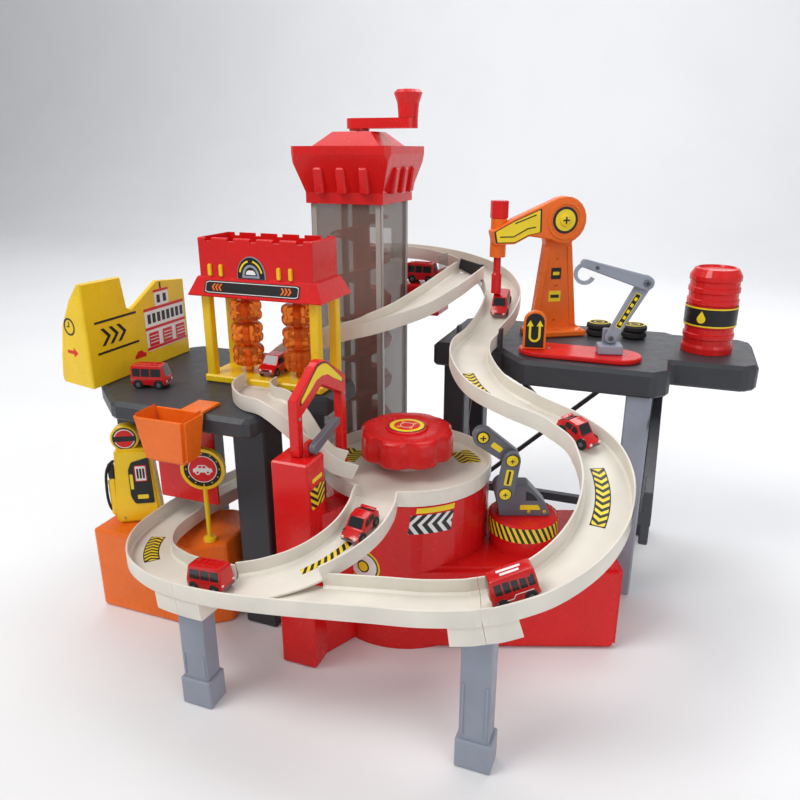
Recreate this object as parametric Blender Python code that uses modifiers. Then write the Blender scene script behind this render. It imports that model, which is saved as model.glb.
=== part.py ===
"""Toy parking garage with a car lift, two decks and a run of open tracks.

Metres, +Z up. The origin is on the lift's turning axis, on the floor, under the middle of
the tower's foot. +X runs along the decks' front edges, and -Y is the front.
"""
import math

import bmesh
import bpy
from mathutils import Matrix, Vector

# Clearances
FIT = 0.0003
RUN = 0.0008

# Lift tower
TOWER_WIDTH = 0.078
TOWER_WALL = 0.002
FOOT_WIDTH = 0.096
FOOT_HEIGHT = 0.022
FOOT_SOCKET = 0.008
SHAFT_TOP = 0.402
CAP_BOTTOM = 0.390
CAP_FLARE_BOTTOM = 0.401
CAP_FLARE_TOP = 0.438
CAP_RIM_TOP = 0.446
CAP_TOP = 0.460
CAP_WIDTH = 0.086
CAP_FLARE_WIDTH = 0.109
CAP_DOME_WIDTH = 0.074
CAP_DOME_TOP_WIDTH = 0.042
CAP_SOCKET_TOP = 0.412
CAP_BORE = 0.0065
RIB_WIDTH = 0.010
RIB_HEIGHT = 0.026
CRANK_THICKNESS = 0.010
CRANK_WIDTH = 0.026
CRANK_REACH = 0.054
CRANK_PIN = 0.0035
CRANK_HUB = 0.0105
KNOB_HEIGHT = 0.026
KNOB_FOOT = 0.010
KNOB_HEAD = 0.0145
SCREW_CORE = 0.0095
SCREW_RADIUS = 0.0335
SCREW_THICKNESS = 0.0022
SCREW_PITCH = 0.047
SCREW_TURNS = 7
SCREW_STEPS = 12
SCREW_FLIGHT_BOTTOM = 0.046

# Tracks
TRACK_WIDTH = 0.040
TRACK_DEPTH = 0.014
TRACK_WALL = 0.0018
TRACK_SPAN_STEPS = 3
BRANCH_GAP = 0.0011
GATE_LENGTH = 0.034
GATE_HEIGHT = 0.012
GATE_THICKNESS = 0.002
GATE_POST = (0.1150, 0.0835)
GATE_LIFT = 0.0013
GATE_POST_LIFT = 0.0016
GATE_PIN = 0.0012
GATE_HEADING = math.radians(157.0)

# Left deck
LEFT_DECK_TOP = 0.225
LEFT_DECK_SKIRT = 0.019
DECK_WALL = 0.0025
DECK_BEVEL = 0.004
LEFT_DECK_X = (-0.196, 0.003)
LEFT_DECK_Y = (-0.247, -0.046)
LEFT_DECK_CORNER = 0.052

# On and under the left deck
PANEL_CENTRE = (-0.0945, -0.2118)
PANEL_SIZE = (0.066, 0.004)
PANEL_BOTTOM = 0.118
WALL_LENGTH = 0.150
WALL_HEIGHT = 0.101
WALL_THICKNESS = 0.005
WALL_WING = 0.046
WALL_WING_HEADING = math.radians(167.0)
HOPPER_CENTRE_X = -0.0675
HOPPER_SIZE = (0.054, 0.032, 0.044)
HOPPER_WALL = 0.0025

# Right deck
RIGHT_DECK_TOP = 0.245
RIGHT_DECK_SKIRT = 0.027
RIGHT_DECK_X = (0.088, 0.332)
RIGHT_DECK_Y = (-0.050, 0.128)
RIGHT_DECK_NOTCH = 0.176
RIGHT_DECK_STEP = 0.038
ANNEX_X = 0.412
ANNEX_Y = (0.002, 0.120)

# Posts
POST_WIDTH = 0.0335
SMALL_POST = 0.024
LEFT_POSTS = [(-0.0170, -0.2060, POST_WIDTH, 0.0325), (-0.1725, -0.1890, SMALL_POST, SMALL_POST),
              (-0.1725, -0.0680, SMALL_POST, SMALL_POST), (-0.0060, -0.1260, SMALL_POST, SMALL_POST)]
RIGHT_POSTS = [(0.316, 0.100), (0.110, 0.100), (0.110, 0.010)]
RAIL = 0.010
BRACE = 0.005
BRACKET_WIDTH = 0.0085
BRACKET_END = -0.243
BRACKET_HEIGHT = 0.192
BRACKET_PAD = 0.030

# Car wash
WASH_X = (-0.099, 0.029)
WASH_Y = (-0.165, -0.113)
WASH_BASE = 0.008
WASH_POST = 0.009
WASH_POST_TOP = 0.312
WASH_EAVE = 0.014
WASH_EAVE_RISE = 0.018
WASH_ROOF_TOP = 0.366
WASH_CRENEL = 0.006
ROLLER_RADIUS = 0.0155
ROLLER_CORE = 0.004
ROLLER_DRUM = 0.0205
ROLLER_GAP = 0.0016
ROLLER_LOBES = 8
ROLLER_SPACING = 0.033

# Central base and platform
BASE_CENTRE = (0.102, -0.132)
BASE_RADIUS = 0.0800
BASE_TOP = 0.149
COLUMN_CENTRE = (0.046, -0.2463)
COLUMN_SIZE = (0.034, 0.0315)
COLUMN_TOP = 0.200
BIN_LENGTH = 0.196
BIN_DEPTH = 0.118
BIN_TOP = 0.086
BIN_ANGLE = math.radians(20.0)
PLATFORM_RADIUS = 0.0815
PLATFORM_FLOOR = 0.0022
PLATFORM_RIM = 0.0145
DIAL_RADIUS = 0.045
DIAL_LOBE = 0.0042
DIAL_LOBES = 8
DIAL_BOTTOM = 0.166
DIAL_TOP = 0.192
DIAL_HUB = 0.0135
DIAL_PIN = 0.0045
ARCH_FRONT = (0.046, -0.2463)
ARCH_BACK_REACH = 0.8065
ARCH_BACK_ANGLE = math.radians(217.19)
ARCH_BACK = (BASE_CENTRE[0] + BASE_RADIUS * ARCH_BACK_REACH * math.cos(ARCH_BACK_ANGLE),
             BASE_CENTRE[1] + BASE_RADIUS * ARCH_BACK_REACH * math.sin(ARCH_BACK_ANGLE))
ARCH_HEADING = math.atan2(ARCH_BACK[1] - ARCH_FRONT[1], ARCH_BACK[0] - ARCH_FRONT[0])
ARCH_POST = 0.0085
ARCH_SHOULDER = 0.250
ARCH_PEAK = 0.274
ARCH_BAND = 0.020
LEVER_LENGTH = 0.044
LEVER_RADIUS = 0.005
LEVER_THICKNESS = 0.006
LEVER_RISE = math.radians(12.0)
LEVER_PIVOT = (COLUMN_CENTRE[0] + 0.0125, COLUMN_CENTRE[1] + 0.0063, COLUMN_TOP + LEVER_RADIUS + 0.0015)

# Robot arm
TURNTABLE_RADIUS = 0.033
TURNTABLE_HEIGHT = 0.017
TURNTABLE_GAP = 0.0012
TURNTABLE_ANGLE = math.radians(6.285)
TURNTABLE_REACH = BASE_RADIUS + TURNTABLE_RADIUS + TURNTABLE_GAP
TURNTABLE_CENTRE = (BASE_CENTRE[0] + TURNTABLE_REACH * math.cos(TURNTABLE_ANGLE),
                    BASE_CENTRE[1] + TURNTABLE_REACH * math.sin(TURNTABLE_ANGLE))
PEDESTAL_TOP = 0.0995
ROBOT_HEADING = BIN_ANGLE
ROBOT_SHOULDER = (-0.0205, 0.143)
ROBOT_ELBOW = (-0.0155, 0.1765)
ROBOT_TIP = (-0.0420, 0.1960)
ROBOT_JOINT = 0.0085

# Legs
LEG_WIDTH = 0.0235
LEG_DEPTH = 0.018
LEG_FOOT = 0.0045
LEG_FOOT_HEIGHT = 0.026
SOCKET_DROP = 0.016
SOCKET_HALF = 0.0225

# Filling station
ORANGE_TOP = 0.088
ORANGE_LEFT = -0.186
REST_SPOT = (-0.1090, -0.205)
REST_SIZE = (0.030, 0.012)
PUMP_CENTRE = (-0.1555, -0.2140)
PUMP_SIZE = (0.044, 0.022, 0.078)
PUMP_TURN = math.radians(30.0)
PUMP_DISC = 0.0135
SIGN_SPOT = (-0.064, -0.228)
SIGN_TURN = math.radians(20.0)
SIGN_POST = 0.0585
SIGN_RADIUS = 0.0205

# Stage beside the tower
STAGE_X = (0.030, 0.077)
STAGE_Y = (TOWER_WIDTH / 2 + FIT, 0.080)
STAGE_BOTTOM = 0.262
STAGE_TOP = 0.2965

# Small cars
CAR_LENGTH = 0.035
CAR_WIDTH = 0.0175
WHEEL_RADIUS = 0.0042
CAR_HEIGHT = 0.0225
CAR_LIFT = 0.0006
CAR_AXLE = 0.29
CAR_SHAPES = {
    "van": [(-0.5, 0.10), (0.5, 0.10), (0.5, 0.42), (0.42, 0.98), (-0.46, 1.0), (-0.5, 0.92)],
    "truck": [(-0.5, 0.10), (0.5, 0.10), (0.5, 0.50), (0.45, 1.06), (-0.48, 1.10), (-0.5, 1.0)],
    "hatch": [(-0.5, 0.12), (0.5, 0.12), (0.5, 0.38), (0.30, 0.50), (0.14, 0.86), (-0.30, 0.88), (-0.5, 0.55)],
    "sport": [(-0.5, 0.12), (0.5, 0.12), (0.5, 0.30), (0.22, 0.42), (0.02, 0.72), (-0.24, 0.72), (-0.5, 0.46)],
}

# Deck-top toys
PLATE_CENTRE = (0.243, -0.012)
PLATE_LENGTH = 0.122
PLATE_DEPTH = 0.046
PLATE_HEIGHT = 0.005
CRANE_CENTRE = (0.203, 0.070)
CRANE_HEAD_RADIUS = 0.0245
CRANE_THICKNESS = 0.013
CRANE_SLEEVE_RISE = 0.002
SPINDLE = (0.1445, 0.0330)
SPINDLE_RADIUS = 0.004
SPINDLE_RISE = 0.010
SPINDLE_DROP = 0.077
SPINDLE_OVER_ROOF = 0.0032
LIFTED_CAR = "hatch"
LIFTED_CAR_STOP = 7.45
SPINDLE_KNOB = 0.018
HOOK_BASE_CENTRE = (0.272, -0.010)
HOOK_HEADING = math.radians(15.0)
HOOK_PIVOT = (0.0, 0.2660)
HOOK_ELBOW = (0.028, 0.3220)
HOOK_TIP = (-0.032, 0.3400)
PLAQUE_CENTRE = (0.1985, -0.020)
PLAQUE_WIDTH = 0.023
PLAQUE_SHOULDER = 0.028
DRUM_CENTRE = (0.364, 0.058)
DRUM_BANDS = 6
TYRE_SPOTS = {"tyre_stack_left": (0.252, 0.084), "tyre_stack_right": (0.290, 0.086)}
DRUM_RADIUS = 0.025
DRUM_HEIGHT = 0.086
TYRE_RADIUS = 0.0135
TYRE_HEIGHT = 0.0075
TYRE_COUNT = 2

RED = (0.62, 0.012, 0.012)
ORANGE = (0.85, 0.17, 0.015)
YELLOW = (0.90, 0.62, 0.02)
IVORY = (0.78, 0.74, 0.66)
CHARCOAL = (0.035, 0.037, 0.042)
GREY_BLUE = (0.26, 0.29, 0.34)
ROBOT_GREY = (0.13, 0.14, 0.17)
BLACK = (0.015, 0.015, 0.016)
AMBER = (0.55, 0.14, 0.03)
SMOKE = (0.24, 0.20, 0.17)


UPRIGHT = math.radians(90)
OFF_SEAM = math.radians(7.0)


def collection(name):
    """A new collection in the scene."""
    made = bpy.data.collections.new(name)
    bpy.context.scene.collection.children.link(made)
    return made


def material(name, colour, roughness=0.32):
    """A Principled plastic, made once for each name."""
    found = bpy.data.materials.get(name)
    if found:
        return found
    made = bpy.data.materials.new(name)
    made.use_nodes = True
    shader = made.node_tree.nodes["Principled BSDF"]
    shader.inputs["Base Color"].default_value = (*colour, 1.0)
    shader.inputs["Roughness"].default_value = roughness
    shader.inputs["Metallic"].default_value = 0.0
    made.diffuse_color = (*colour, 1.0)
    return made


for old in list(bpy.data.objects):
    bpy.data.objects.remove(old)
PART = collection("toy_parking_garage")
TOOLS = collection("cutters")
HIDDEN = material("cutter", (0.5, 0.5, 0.5))


def place(mesh, name, colour, at=(0, 0, 0), turn=(0, 0, 0), smooth=True):
    """An object in the part's collection for a finished mesh."""
    obj = bpy.data.objects.new(name, mesh)
    PART.objects.link(obj)
    obj.location = at
    obj.rotation_euler = turn
    mesh.materials.clear()
    mesh.materials.append(colour)
    if smooth:
        mesh.shade_smooth()
        mesh.set_sharp_from_angle(angle=math.radians(35))
    return obj


def mesh_from(bm, name):
    """The mesh of a bmesh whose faces are turned outwards."""
    bmesh.ops.recalc_face_normals(bm, faces=bm.faces)
    mesh = bpy.data.meshes.new(name)
    bm.to_mesh(mesh)
    bm.free()
    return mesh


def block(name, size, colour, at, turn=(0, 0, 0), bevel=0.0012, steps=1, scale_top=None):
    """A box with rounded edges; scale_top narrows its upper face in X and Y."""
    bm = bmesh.new()
    bmesh.ops.create_cube(bm, size=1.0)
    bmesh.ops.scale(bm, vec=size, verts=bm.verts)
    if scale_top:
        upper = [v for v in bm.verts if v.co.z > 0]
        bmesh.ops.scale(bm, vec=(*scale_top, 1.0), verts=upper)
    if bevel:
        bmesh.ops.bevel(bm, geom=bm.edges[:], offset=bevel, segments=steps, affect="EDGES")
    return place(mesh_from(bm, name), name, colour, at, turn)


def evaluated_mesh(obj, name):
    """The mesh of an object as its modifiers and curve settings make it, welded shut."""
    bpy.context.view_layer.update()
    graph = bpy.context.evaluated_depsgraph_get()
    mesh = bpy.data.meshes.new_from_object(obj.evaluated_get(graph))
    bm = bmesh.new()
    bm.from_mesh(mesh)
    bpy.data.meshes.remove(mesh)
    bmesh.ops.remove_doubles(bm, verts=bm.verts, dist=0.00001)
    return mesh_from(bm, name)


def outline_curve(name, points):
    """A flat closed outline as a 2D curve."""
    curve = bpy.data.curves.new(name, "CURVE")
    curve.dimensions = "2D"
    curve.fill_mode = "BOTH"
    line = curve.splines.new("POLY")
    line.points.add(len(points) - 1)
    line.use_cyclic_u = True
    for point, (x, y) in zip(line.points, points):
        point.co = (x, y, 0.0, 1.0)
    return curve


def plate(name, points, thickness, colour, at=(0, 0, 0), turn=(0, 0, 0), bevel=0.0, steps=1):
    """An outline extruded to a thickness, centred on its own plane."""
    curve = outline_curve(name, points)
    curve.extrude = thickness / 2
    guide = bpy.data.objects.new(name, curve)
    bpy.context.scene.collection.objects.link(guide)
    mesh = evaluated_mesh(guide, name)
    bpy.data.objects.remove(guide)
    bpy.data.curves.remove(curve)
    obj = place(mesh, name, colour, at, turn)
    if bevel:
        rounding = obj.modifiers.new("Rounding", "BEVEL")
        rounding.width = bevel
        rounding.segments = steps
        rounding.limit_method = "ANGLE"
        rounding.angle_limit = math.radians(25)
    return obj


def turned(name, profile, colour, at=(0, 0, 0), turn=(0, 0, 0), steps=24, closed=False):
    """A profile of (radius, height) pairs, listed downwards, turned round Z."""
    bm = bmesh.new()
    ring = [bm.verts.new((r, 0.0, z)) for r, z in profile]
    for first, second in zip(ring, ring[1:]):
        bm.edges.new((first, second))
    if closed:
        bm.edges.new((ring[-1], ring[0]))
    mesh = bpy.data.meshes.new(name)
    bm.to_mesh(mesh)
    bm.free()
    guide = bpy.data.objects.new(name, mesh)
    bpy.context.scene.collection.objects.link(guide)
    lathe = guide.modifiers.new("Lathe", "SCREW")
    lathe.steps = steps
    lathe.render_steps = steps
    lathe.use_merge_vertices = True
    lathe.merge_threshold = 0.00001
    finished = evaluated_mesh(guide, name)
    bpy.data.objects.remove(guide)
    bpy.data.meshes.remove(mesh)
    return place(finished, name, colour, at, turn)


def square_turned(name, profile, colour, at=(0, 0, 0), closed=False):
    """A square stack: (half width, height) pairs, listed downwards, on four sides."""
    diagonal = [(half * math.sqrt(2), z) for half, z in profile]
    return turned(name, diagonal, colour, at, (0, 0, math.radians(45)), 4, closed)


def cut_corners(obj, half, corner, height):
    """Takes the four upright corners off a square stack about Z."""
    across = (2 * half - corner) * math.sqrt(2)
    keep = block(obj.name + "_corners", (across, across, height * 2), HIDDEN, (0, 0, height / 2),
                 (0, 0, math.radians(45)), bevel=0)
    return combine(obj, keep, "INTERSECT")


def smooth_path(stops, steps=TRACK_SPAN_STEPS):
    """Points of a centripetal Catmull-Rom curve through the stops."""
    knots = [Vector(p) for p in stops]
    knots = [2 * knots[0] - knots[1]] + knots + [2 * knots[-1] - knots[-2]]
    path = []
    for p0, p1, p2, p3 in zip(knots, knots[1:], knots[2:], knots[3:]):
        t1 = math.sqrt((p1 - p0).length)
        t2 = t1 + math.sqrt((p2 - p1).length)
        t3 = t2 + math.sqrt((p3 - p2).length)
        for step in range(steps):
            t = t1 + (t2 - t1) * step / steps
            a1 = p0.lerp(p1, t / t1)
            a2 = p1.lerp(p2, (t - t1) / (t2 - t1))
            a3 = p2.lerp(p3, (t - t2) / (t3 - t2))
            b1 = a1.lerp(a2, t / t2)
            b2 = a2.lerp(a3, (t - t1) / (t3 - t1))
            path.append(b1.lerp(b2, (t - t1) / (t2 - t1)))
    path.append(knots[-2])
    return path


def swept(name, path, section, colour):
    """A closed section of (across, up) pairs carried level along a path."""
    shape = outline_curve(name + "_section", section)
    guide_section = bpy.data.objects.new(name + "_section", shape)
    bpy.context.scene.collection.objects.link(guide_section)
    curve = bpy.data.curves.new(name, "CURVE")
    curve.dimensions = "3D"
    curve.twist_mode = "Z_UP"
    curve.bevel_mode = "OBJECT"
    curve.bevel_object = guide_section
    curve.use_fill_caps = True
    line = curve.splines.new("POLY")
    line.points.add(len(path) - 1)
    for point, place_on_path in zip(line.points, path):
        point.co = (*place_on_path, 1.0)
    guide = bpy.data.objects.new(name, curve)
    bpy.context.scene.collection.objects.link(guide)
    mesh = evaluated_mesh(guide, name)
    for used in (guide, guide_section):
        bpy.data.objects.remove(used)
    for used in (curve, shape):
        bpy.data.curves.remove(used)
    return place(mesh, name, colour)


def rectangle(x0, x1, y0, y1):
    """The corners of a rectangle, counterclockwise."""
    return [(x0, y0), (x1, y0), (x1, y1), (x0, y1)]


def channel_section(width=TRACK_WIDTH, depth=TRACK_DEPTH, wall=TRACK_WALL):
    """The U of an open track, its underside at height 0."""
    half = width / 2
    inner = half - wall
    return [(-half, 0), (half, 0), (half, depth), (inner, depth), (inner, wall),
            (-inner, wall), (-inner, depth), (-half, depth)]


def set_aside(obj):
    """Turns an object into a hidden tool for a Boolean."""
    PART.objects.unlink(obj)
    TOOLS.objects.link(obj)
    obj.hide_render = True
    obj.display_type = "WIRE"
    return obj


def combine(target, other, operation):
    """Adds a Boolean with a tool to a piece."""
    change = target.modifiers.new(operation.title(), "BOOLEAN")
    change.operation = operation
    change.object = set_aside(other) if other.name not in TOOLS.objects else other
    return target


def join(target, *others):
    """Makes a piece and its added forms one body."""
    for other in others:
        combine(target, other, "UNION")
    return target


def cut(target, *others):
    """Takes forms out of a piece."""
    for other in others:
        combine(target, other, "DIFFERENCE")
    return target


def arc(centre, radius, start, end, steps):
    """Points of an arc in a plane, with its angles in degrees."""
    angles = [math.radians(start + (end - start) * i / steps) for i in range(steps + 1)]
    return [(centre[0] + radius * math.cos(a), centre[1] + radius * math.sin(a)) for a in angles]


def tapered_link(length, near, far, steps=6):
    """The outline of an arm with a round end of its own size at each pivot."""
    return arc((0, 0), near, 90, 270, steps) + arc((length, 0), far, -90, 90, steps)


def lobed(radius, depth, lobes, per_lobe):
    """An outline whose radius swells and shrinks once for each lobe."""
    count = lobes * per_lobe
    points = []
    for i in range(count):
        angle = 2 * math.pi * i / count
        r = radius - depth * (0.5 - 0.5 * math.cos(lobes * angle))
        points.append((r * math.cos(angle), r * math.sin(angle)))
    return points


# Lift tower

def build_tower():
    """The foot, clear shaft, cap, lift screw and crank on the lift's axis."""
    half = TOWER_WIDTH / 2
    foot_half = FOOT_WIDTH / 2
    seat = half + FIT
    foot = square_turned("tower_foot", [
        (0, FOOT_HEIGHT - FOOT_SOCKET), (seat, FOOT_HEIGHT - FOOT_SOCKET), (seat, FOOT_HEIGHT),
        (foot_half - 0.004, FOOT_HEIGHT), (foot_half, FOOT_HEIGHT - 0.004), (foot_half, 0), (0, 0)],
        material("red_base", RED))
    cut_corners(foot, foot_half, 0.006, FOOT_HEIGHT)

    shaft_bottom = FOOT_HEIGHT - FOOT_SOCKET + FIT
    inner = half - TOWER_WALL
    shaft = square_turned("tower_shaft", [
        (half, SHAFT_TOP), (half, shaft_bottom), (inner, shaft_bottom), (inner, SHAFT_TOP)],
        material("smoke_clear", SMOKE, 0.1), closed=True)
    cut_corners(shaft, half, 0.0025, SHAFT_TOP)
    door = TRACK_WIDTH + 2 * RUN
    door_height = TRACK_DEPTH + 0.022
    inlet = block("inlet_cutter", (0.02, door, door_height), HIDDEN,
                  (-half, RETURN_PATH[-1][1], RETURN_PATH[-1][2] + door_height / 2 - RUN), bevel=0)
    outlet = block("outlet_cutter", (door, 0.02, door_height), HIDDEN,
                   (UPPER_PATH[0][0], half, UPPER_PATH[0][2] + door_height / 2 - RUN), bevel=0)
    cut(shaft, inlet, outlet)

    collar = CAP_WIDTH / 2
    flare = CAP_FLARE_WIDTH / 2
    dome = CAP_DOME_WIDTH / 2
    cap = square_turned("tower_cap", [
        (CAP_BORE / math.sqrt(2), CAP_TOP), (CAP_DOME_TOP_WIDTH / 2, CAP_TOP), (dome, CAP_RIM_TOP),
        (flare, CAP_RIM_TOP), (flare, CAP_FLARE_TOP), (collar, CAP_FLARE_BOTTOM), (collar, CAP_BOTTOM),
        (seat, CAP_BOTTOM), (seat, CAP_SOCKET_TOP), (CAP_BORE / math.sqrt(2), CAP_SOCKET_TOP)],
        material("red_gloss", RED, 0.28), closed=True)
    cut_corners(cap, flare, 0.005, CAP_TOP)
    lean = math.atan2(flare - collar, CAP_FLARE_TOP - CAP_FLARE_BOTTOM)
    for side in range(4):
        face = math.radians(90 * side)
        for step in (-1, 0, 1):
            along = step * CAP_WIDTH * 0.29
            out = collar + 0.0035
            spot = Matrix.Rotation(face, 4, "Z") @ Vector((along, -out, CAP_FLARE_BOTTOM + 0.012))
            rib = block(f"cap_rib_{side}_{step + 1}", (RIB_WIDTH, 0.010, RIB_HEIGHT), HIDDEN,
                        spot, (lean * 0.5, 0, face), bevel=0.0015)
            join(cap, rib)

    screw_top = CAP_TOP + 0.002
    screw_foot = FOOT_HEIGHT - FOOT_SOCKET + FIT
    core = turned("lift_screw", [
        (0, screw_top), (CRANK_PIN, screw_top), (CRANK_PIN, CAP_SOCKET_TOP - 0.004),
        (SCREW_CORE, CAP_SOCKET_TOP - 0.004), (SCREW_CORE, screw_foot), (0, screw_foot)],
        material("red_screw", RED, 0.35), steps=16)
    middle = (SCREW_CORE + SCREW_RADIUS) / 2
    span = SCREW_RADIUS - SCREW_CORE
    turns = range(SCREW_TURNS * SCREW_STEPS + 1)
    helix = [Vector((middle * math.cos(2 * math.pi * i / SCREW_STEPS),
                     middle * math.sin(2 * math.pi * i / SCREW_STEPS),
                     SCREW_FLIGHT_BOTTOM + SCREW_PITCH * i / SCREW_STEPS)) for i in turns]
    flight = swept("screw_flight", helix,
                   rectangle(-span / 2 - 0.002, span / 2, 0, SCREW_THICKNESS), HIDDEN)
    join(core, flight)

    arm_bottom = CAP_TOP + 0.003
    outline = tapered_link(CRANK_REACH, CRANK_WIDTH / 2, CRANK_WIDTH / 2 - 0.003, 8)
    arm = plate("crank", outline, CRANK_THICKNESS, material("red_crank", RED, 0.3),
                (0, 0, arm_bottom + CRANK_THICKNESS / 2))
    hub = turned("crank_hub", [(0, arm_bottom + 0.004), (CRANK_HUB, arm_bottom + 0.004),
                               (CRANK_HUB, CAP_TOP + RUN), (0, CAP_TOP + RUN)], HIDDEN,
                 turn=(0, 0, OFF_SEAM), steps=20)
    pocket = turned("crank_pocket", [(0, screw_top + FIT), (CRANK_PIN + FIT, screw_top + FIT),
                                     (CRANK_PIN + FIT, CAP_TOP - 0.001), (0, CAP_TOP - 0.001)],
                    HIDDEN, turn=(0, 0, OFF_SEAM), steps=12)
    join(arm, hub)
    cut(arm, pocket)
    pin = turned("crank_pin", [(0, KNOB_HEIGHT * 0.6), (CRANK_PIN, KNOB_HEIGHT * 0.6),
                               (CRANK_PIN, -CRANK_THICKNESS * 0.7), (0, -CRANK_THICKNESS * 0.7)],
                 HIDDEN, (CRANK_REACH, 0, arm_bottom + CRANK_THICKNESS), steps=12)
    join(arm, pin)

    knob_bottom = arm_bottom + CRANK_THICKNESS + FIT
    turned("crank_knob", [
        (0, KNOB_HEIGHT), (KNOB_HEAD - 0.003, KNOB_HEIGHT), (KNOB_HEAD, KNOB_HEIGHT - 0.003),
        (KNOB_FOOT + 0.001, KNOB_HEIGHT / 2), (KNOB_FOOT, 0),
        (CRANK_PIN + FIT, 0), (CRANK_PIN + FIT, KNOB_HEIGHT * 0.6 + FIT), (0, KNOB_HEIGHT * 0.6 + FIT)],
        material("red_knob", RED, 0.3), (CRANK_REACH, 0, knob_bottom), steps=20)


# Tracks

SEAM_DECK = ((0.138, -0.012, RIGHT_DECK_TOP + FIT), (-0.03, -1.0, 0.0))
SEAM_RIGHT = ((0.2235, -0.3105, 0.1360), (-0.955, -0.297, -0.20))
SEAM_LEFT = ((-0.0100, -0.3265, 0.1105), (-0.985, 0.172, -0.10))
SEAM_OUT = ((0.0, TOWER_WIDTH / 2, 0.324), (0.0, 1.0, 0.0))
SEAM_IN = ((-TOWER_WIDTH / 2, 0.0, 0.066), (1.0, 0.0, 0.0))
SEAM_LEAD = 0.009


def leads(seam, start, end):
    """Three stops on the straight line that both tracks of a seam follow."""
    spot, way = seam
    return [tuple(Vector(spot) + Vector(way).normalized() * d) for d in (start, (start + end) / 2, end)]


UPPER_PATH = [*leads(SEAM_OUT, FIT, SEAM_LEAD), (0.008, 0.078, 0.322),
              (0.038, 0.106, 0.317), (0.080, 0.113, 0.309), (0.122, 0.096, 0.297),
              (0.146, 0.060, 0.281), (0.148, 0.030, 0.2640), (0.1405, 0.008, 0.2485),
              *leads(SEAM_DECK, -SEAM_LEAD, 0.0)]
BRANCH_PATH = [(0.104, 0.108, 0.3045), (0.101, 0.078, 0.3030), (0.098, 0.045, 0.299),
               (0.090, 0.0, 0.291), (0.072, -0.043, 0.279), (0.038, -0.068, 0.266),
               (0.000, -0.075, 0.253), (-0.026, -0.088, 0.2425),
               (-0.035, WASH_Y[1] + FIT, LEFT_DECK_TOP + WASH_BASE + FIT)]
LONG_PATH = [*leads(SEAM_DECK, FIT, SEAM_LEAD), (0.139, -0.045, 0.2450),
             (0.150, -0.085, 0.2415), (0.180, -0.134, 0.235), (0.212, -0.153, 0.229),
             (0.247, -0.159, 0.219), (0.276, -0.174, 0.208), (0.293, -0.205, 0.194),
             (0.295, -0.240, 0.178), (0.284, -0.269, 0.163), (0.260, -0.294, 0.148),
             *leads(SEAM_RIGHT, -SEAM_LEAD, 0.0)]
FRONT_PATH = [*leads(SEAM_RIGHT, FIT, SEAM_LEAD), (0.182, -0.3195, 0.1300),
              (0.148, -0.3230, 0.1270), (0.107, -0.3265, 0.1227), (0.066, -0.3295, 0.1185),
              (0.026, -0.3305, 0.1145), *leads(SEAM_LEFT, -SEAM_LEAD, 0.0)]
RETURN_PATH = [*leads(SEAM_LEFT, FIT, SEAM_LEAD), (-0.040, -0.3185, 0.1070),
               (-0.074, -0.2980, 0.102), (-0.099, -0.262, 0.097), (-0.109, -0.213, 0.092),
               (-0.108, -0.160, 0.0887), (-0.106, -0.105, 0.081), (-0.100, -0.050, 0.0755),
               (-0.080, -0.014, 0.0705), *leads(SEAM_IN, -SEAM_LEAD, -FIT)]
RAMP_PATH = [(0.102, -0.190, 0.1518), (0.103, -0.2135, 0.1510), (0.1085, -0.238, 0.1490),
             (0.107, -0.262, 0.1430), (0.096, -0.284, 0.1350), (0.077, -0.303, 0.1265),
             (0.052, -0.318, 0.1195), (0.030, -0.327, 0.1155)]
SLIDE_START = LEFT_DECK_TOP + FIT
SEAM_WASH = ((-0.035, WASH_Y[0], SLIDE_START), (0.0, -1.0, 0.0))
SLIDE_PATH = [*leads(SEAM_WASH, FIT, SEAM_LEAD),
              (-0.030, -0.190, SLIDE_START), (-0.012, -0.208, SLIDE_START),
              (0.007, -0.2145, SLIDE_START), (0.022, -0.2155, 0.2140),
              (0.038, -0.2115, 0.1930), (0.053, -0.2025, 0.1740), (0.066, -0.192, 0.1655)]
SLIDE_WIDTH = 0.036


def clear_section(height=0.05, side=0.0):
    """The room above a track's floor between its walls, for cutting a way in."""
    half = TRACK_WIDTH / 2 - TRACK_WALL + side
    return rectangle(-half, half, TRACK_WALL, height)


def envelope_section(gap=FIT, below=0.02, height=0.05):
    """The whole room that a track takes, with a clearance, for ending another against it."""
    half = TRACK_WIDTH / 2 + gap
    return rectangle(-half, half, -below, height)


def socket_section():
    """The block under a track's end that stands on a leg."""
    half = TRACK_WIDTH / 2 - 0.001
    return rectangle(-half, half, -SOCKET_DROP, TRACK_WALL / 2)


def stretch(path, length):
    """The first part of a path, up to a length along it."""
    part = [path[0]]
    left = length
    for first, second in zip(path, path[1:]):
        step = (second - first).length
        if step >= left:
            part.append(first.lerp(second, left / step))
            break
        part.append(second)
        left -= step
    return part


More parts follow.
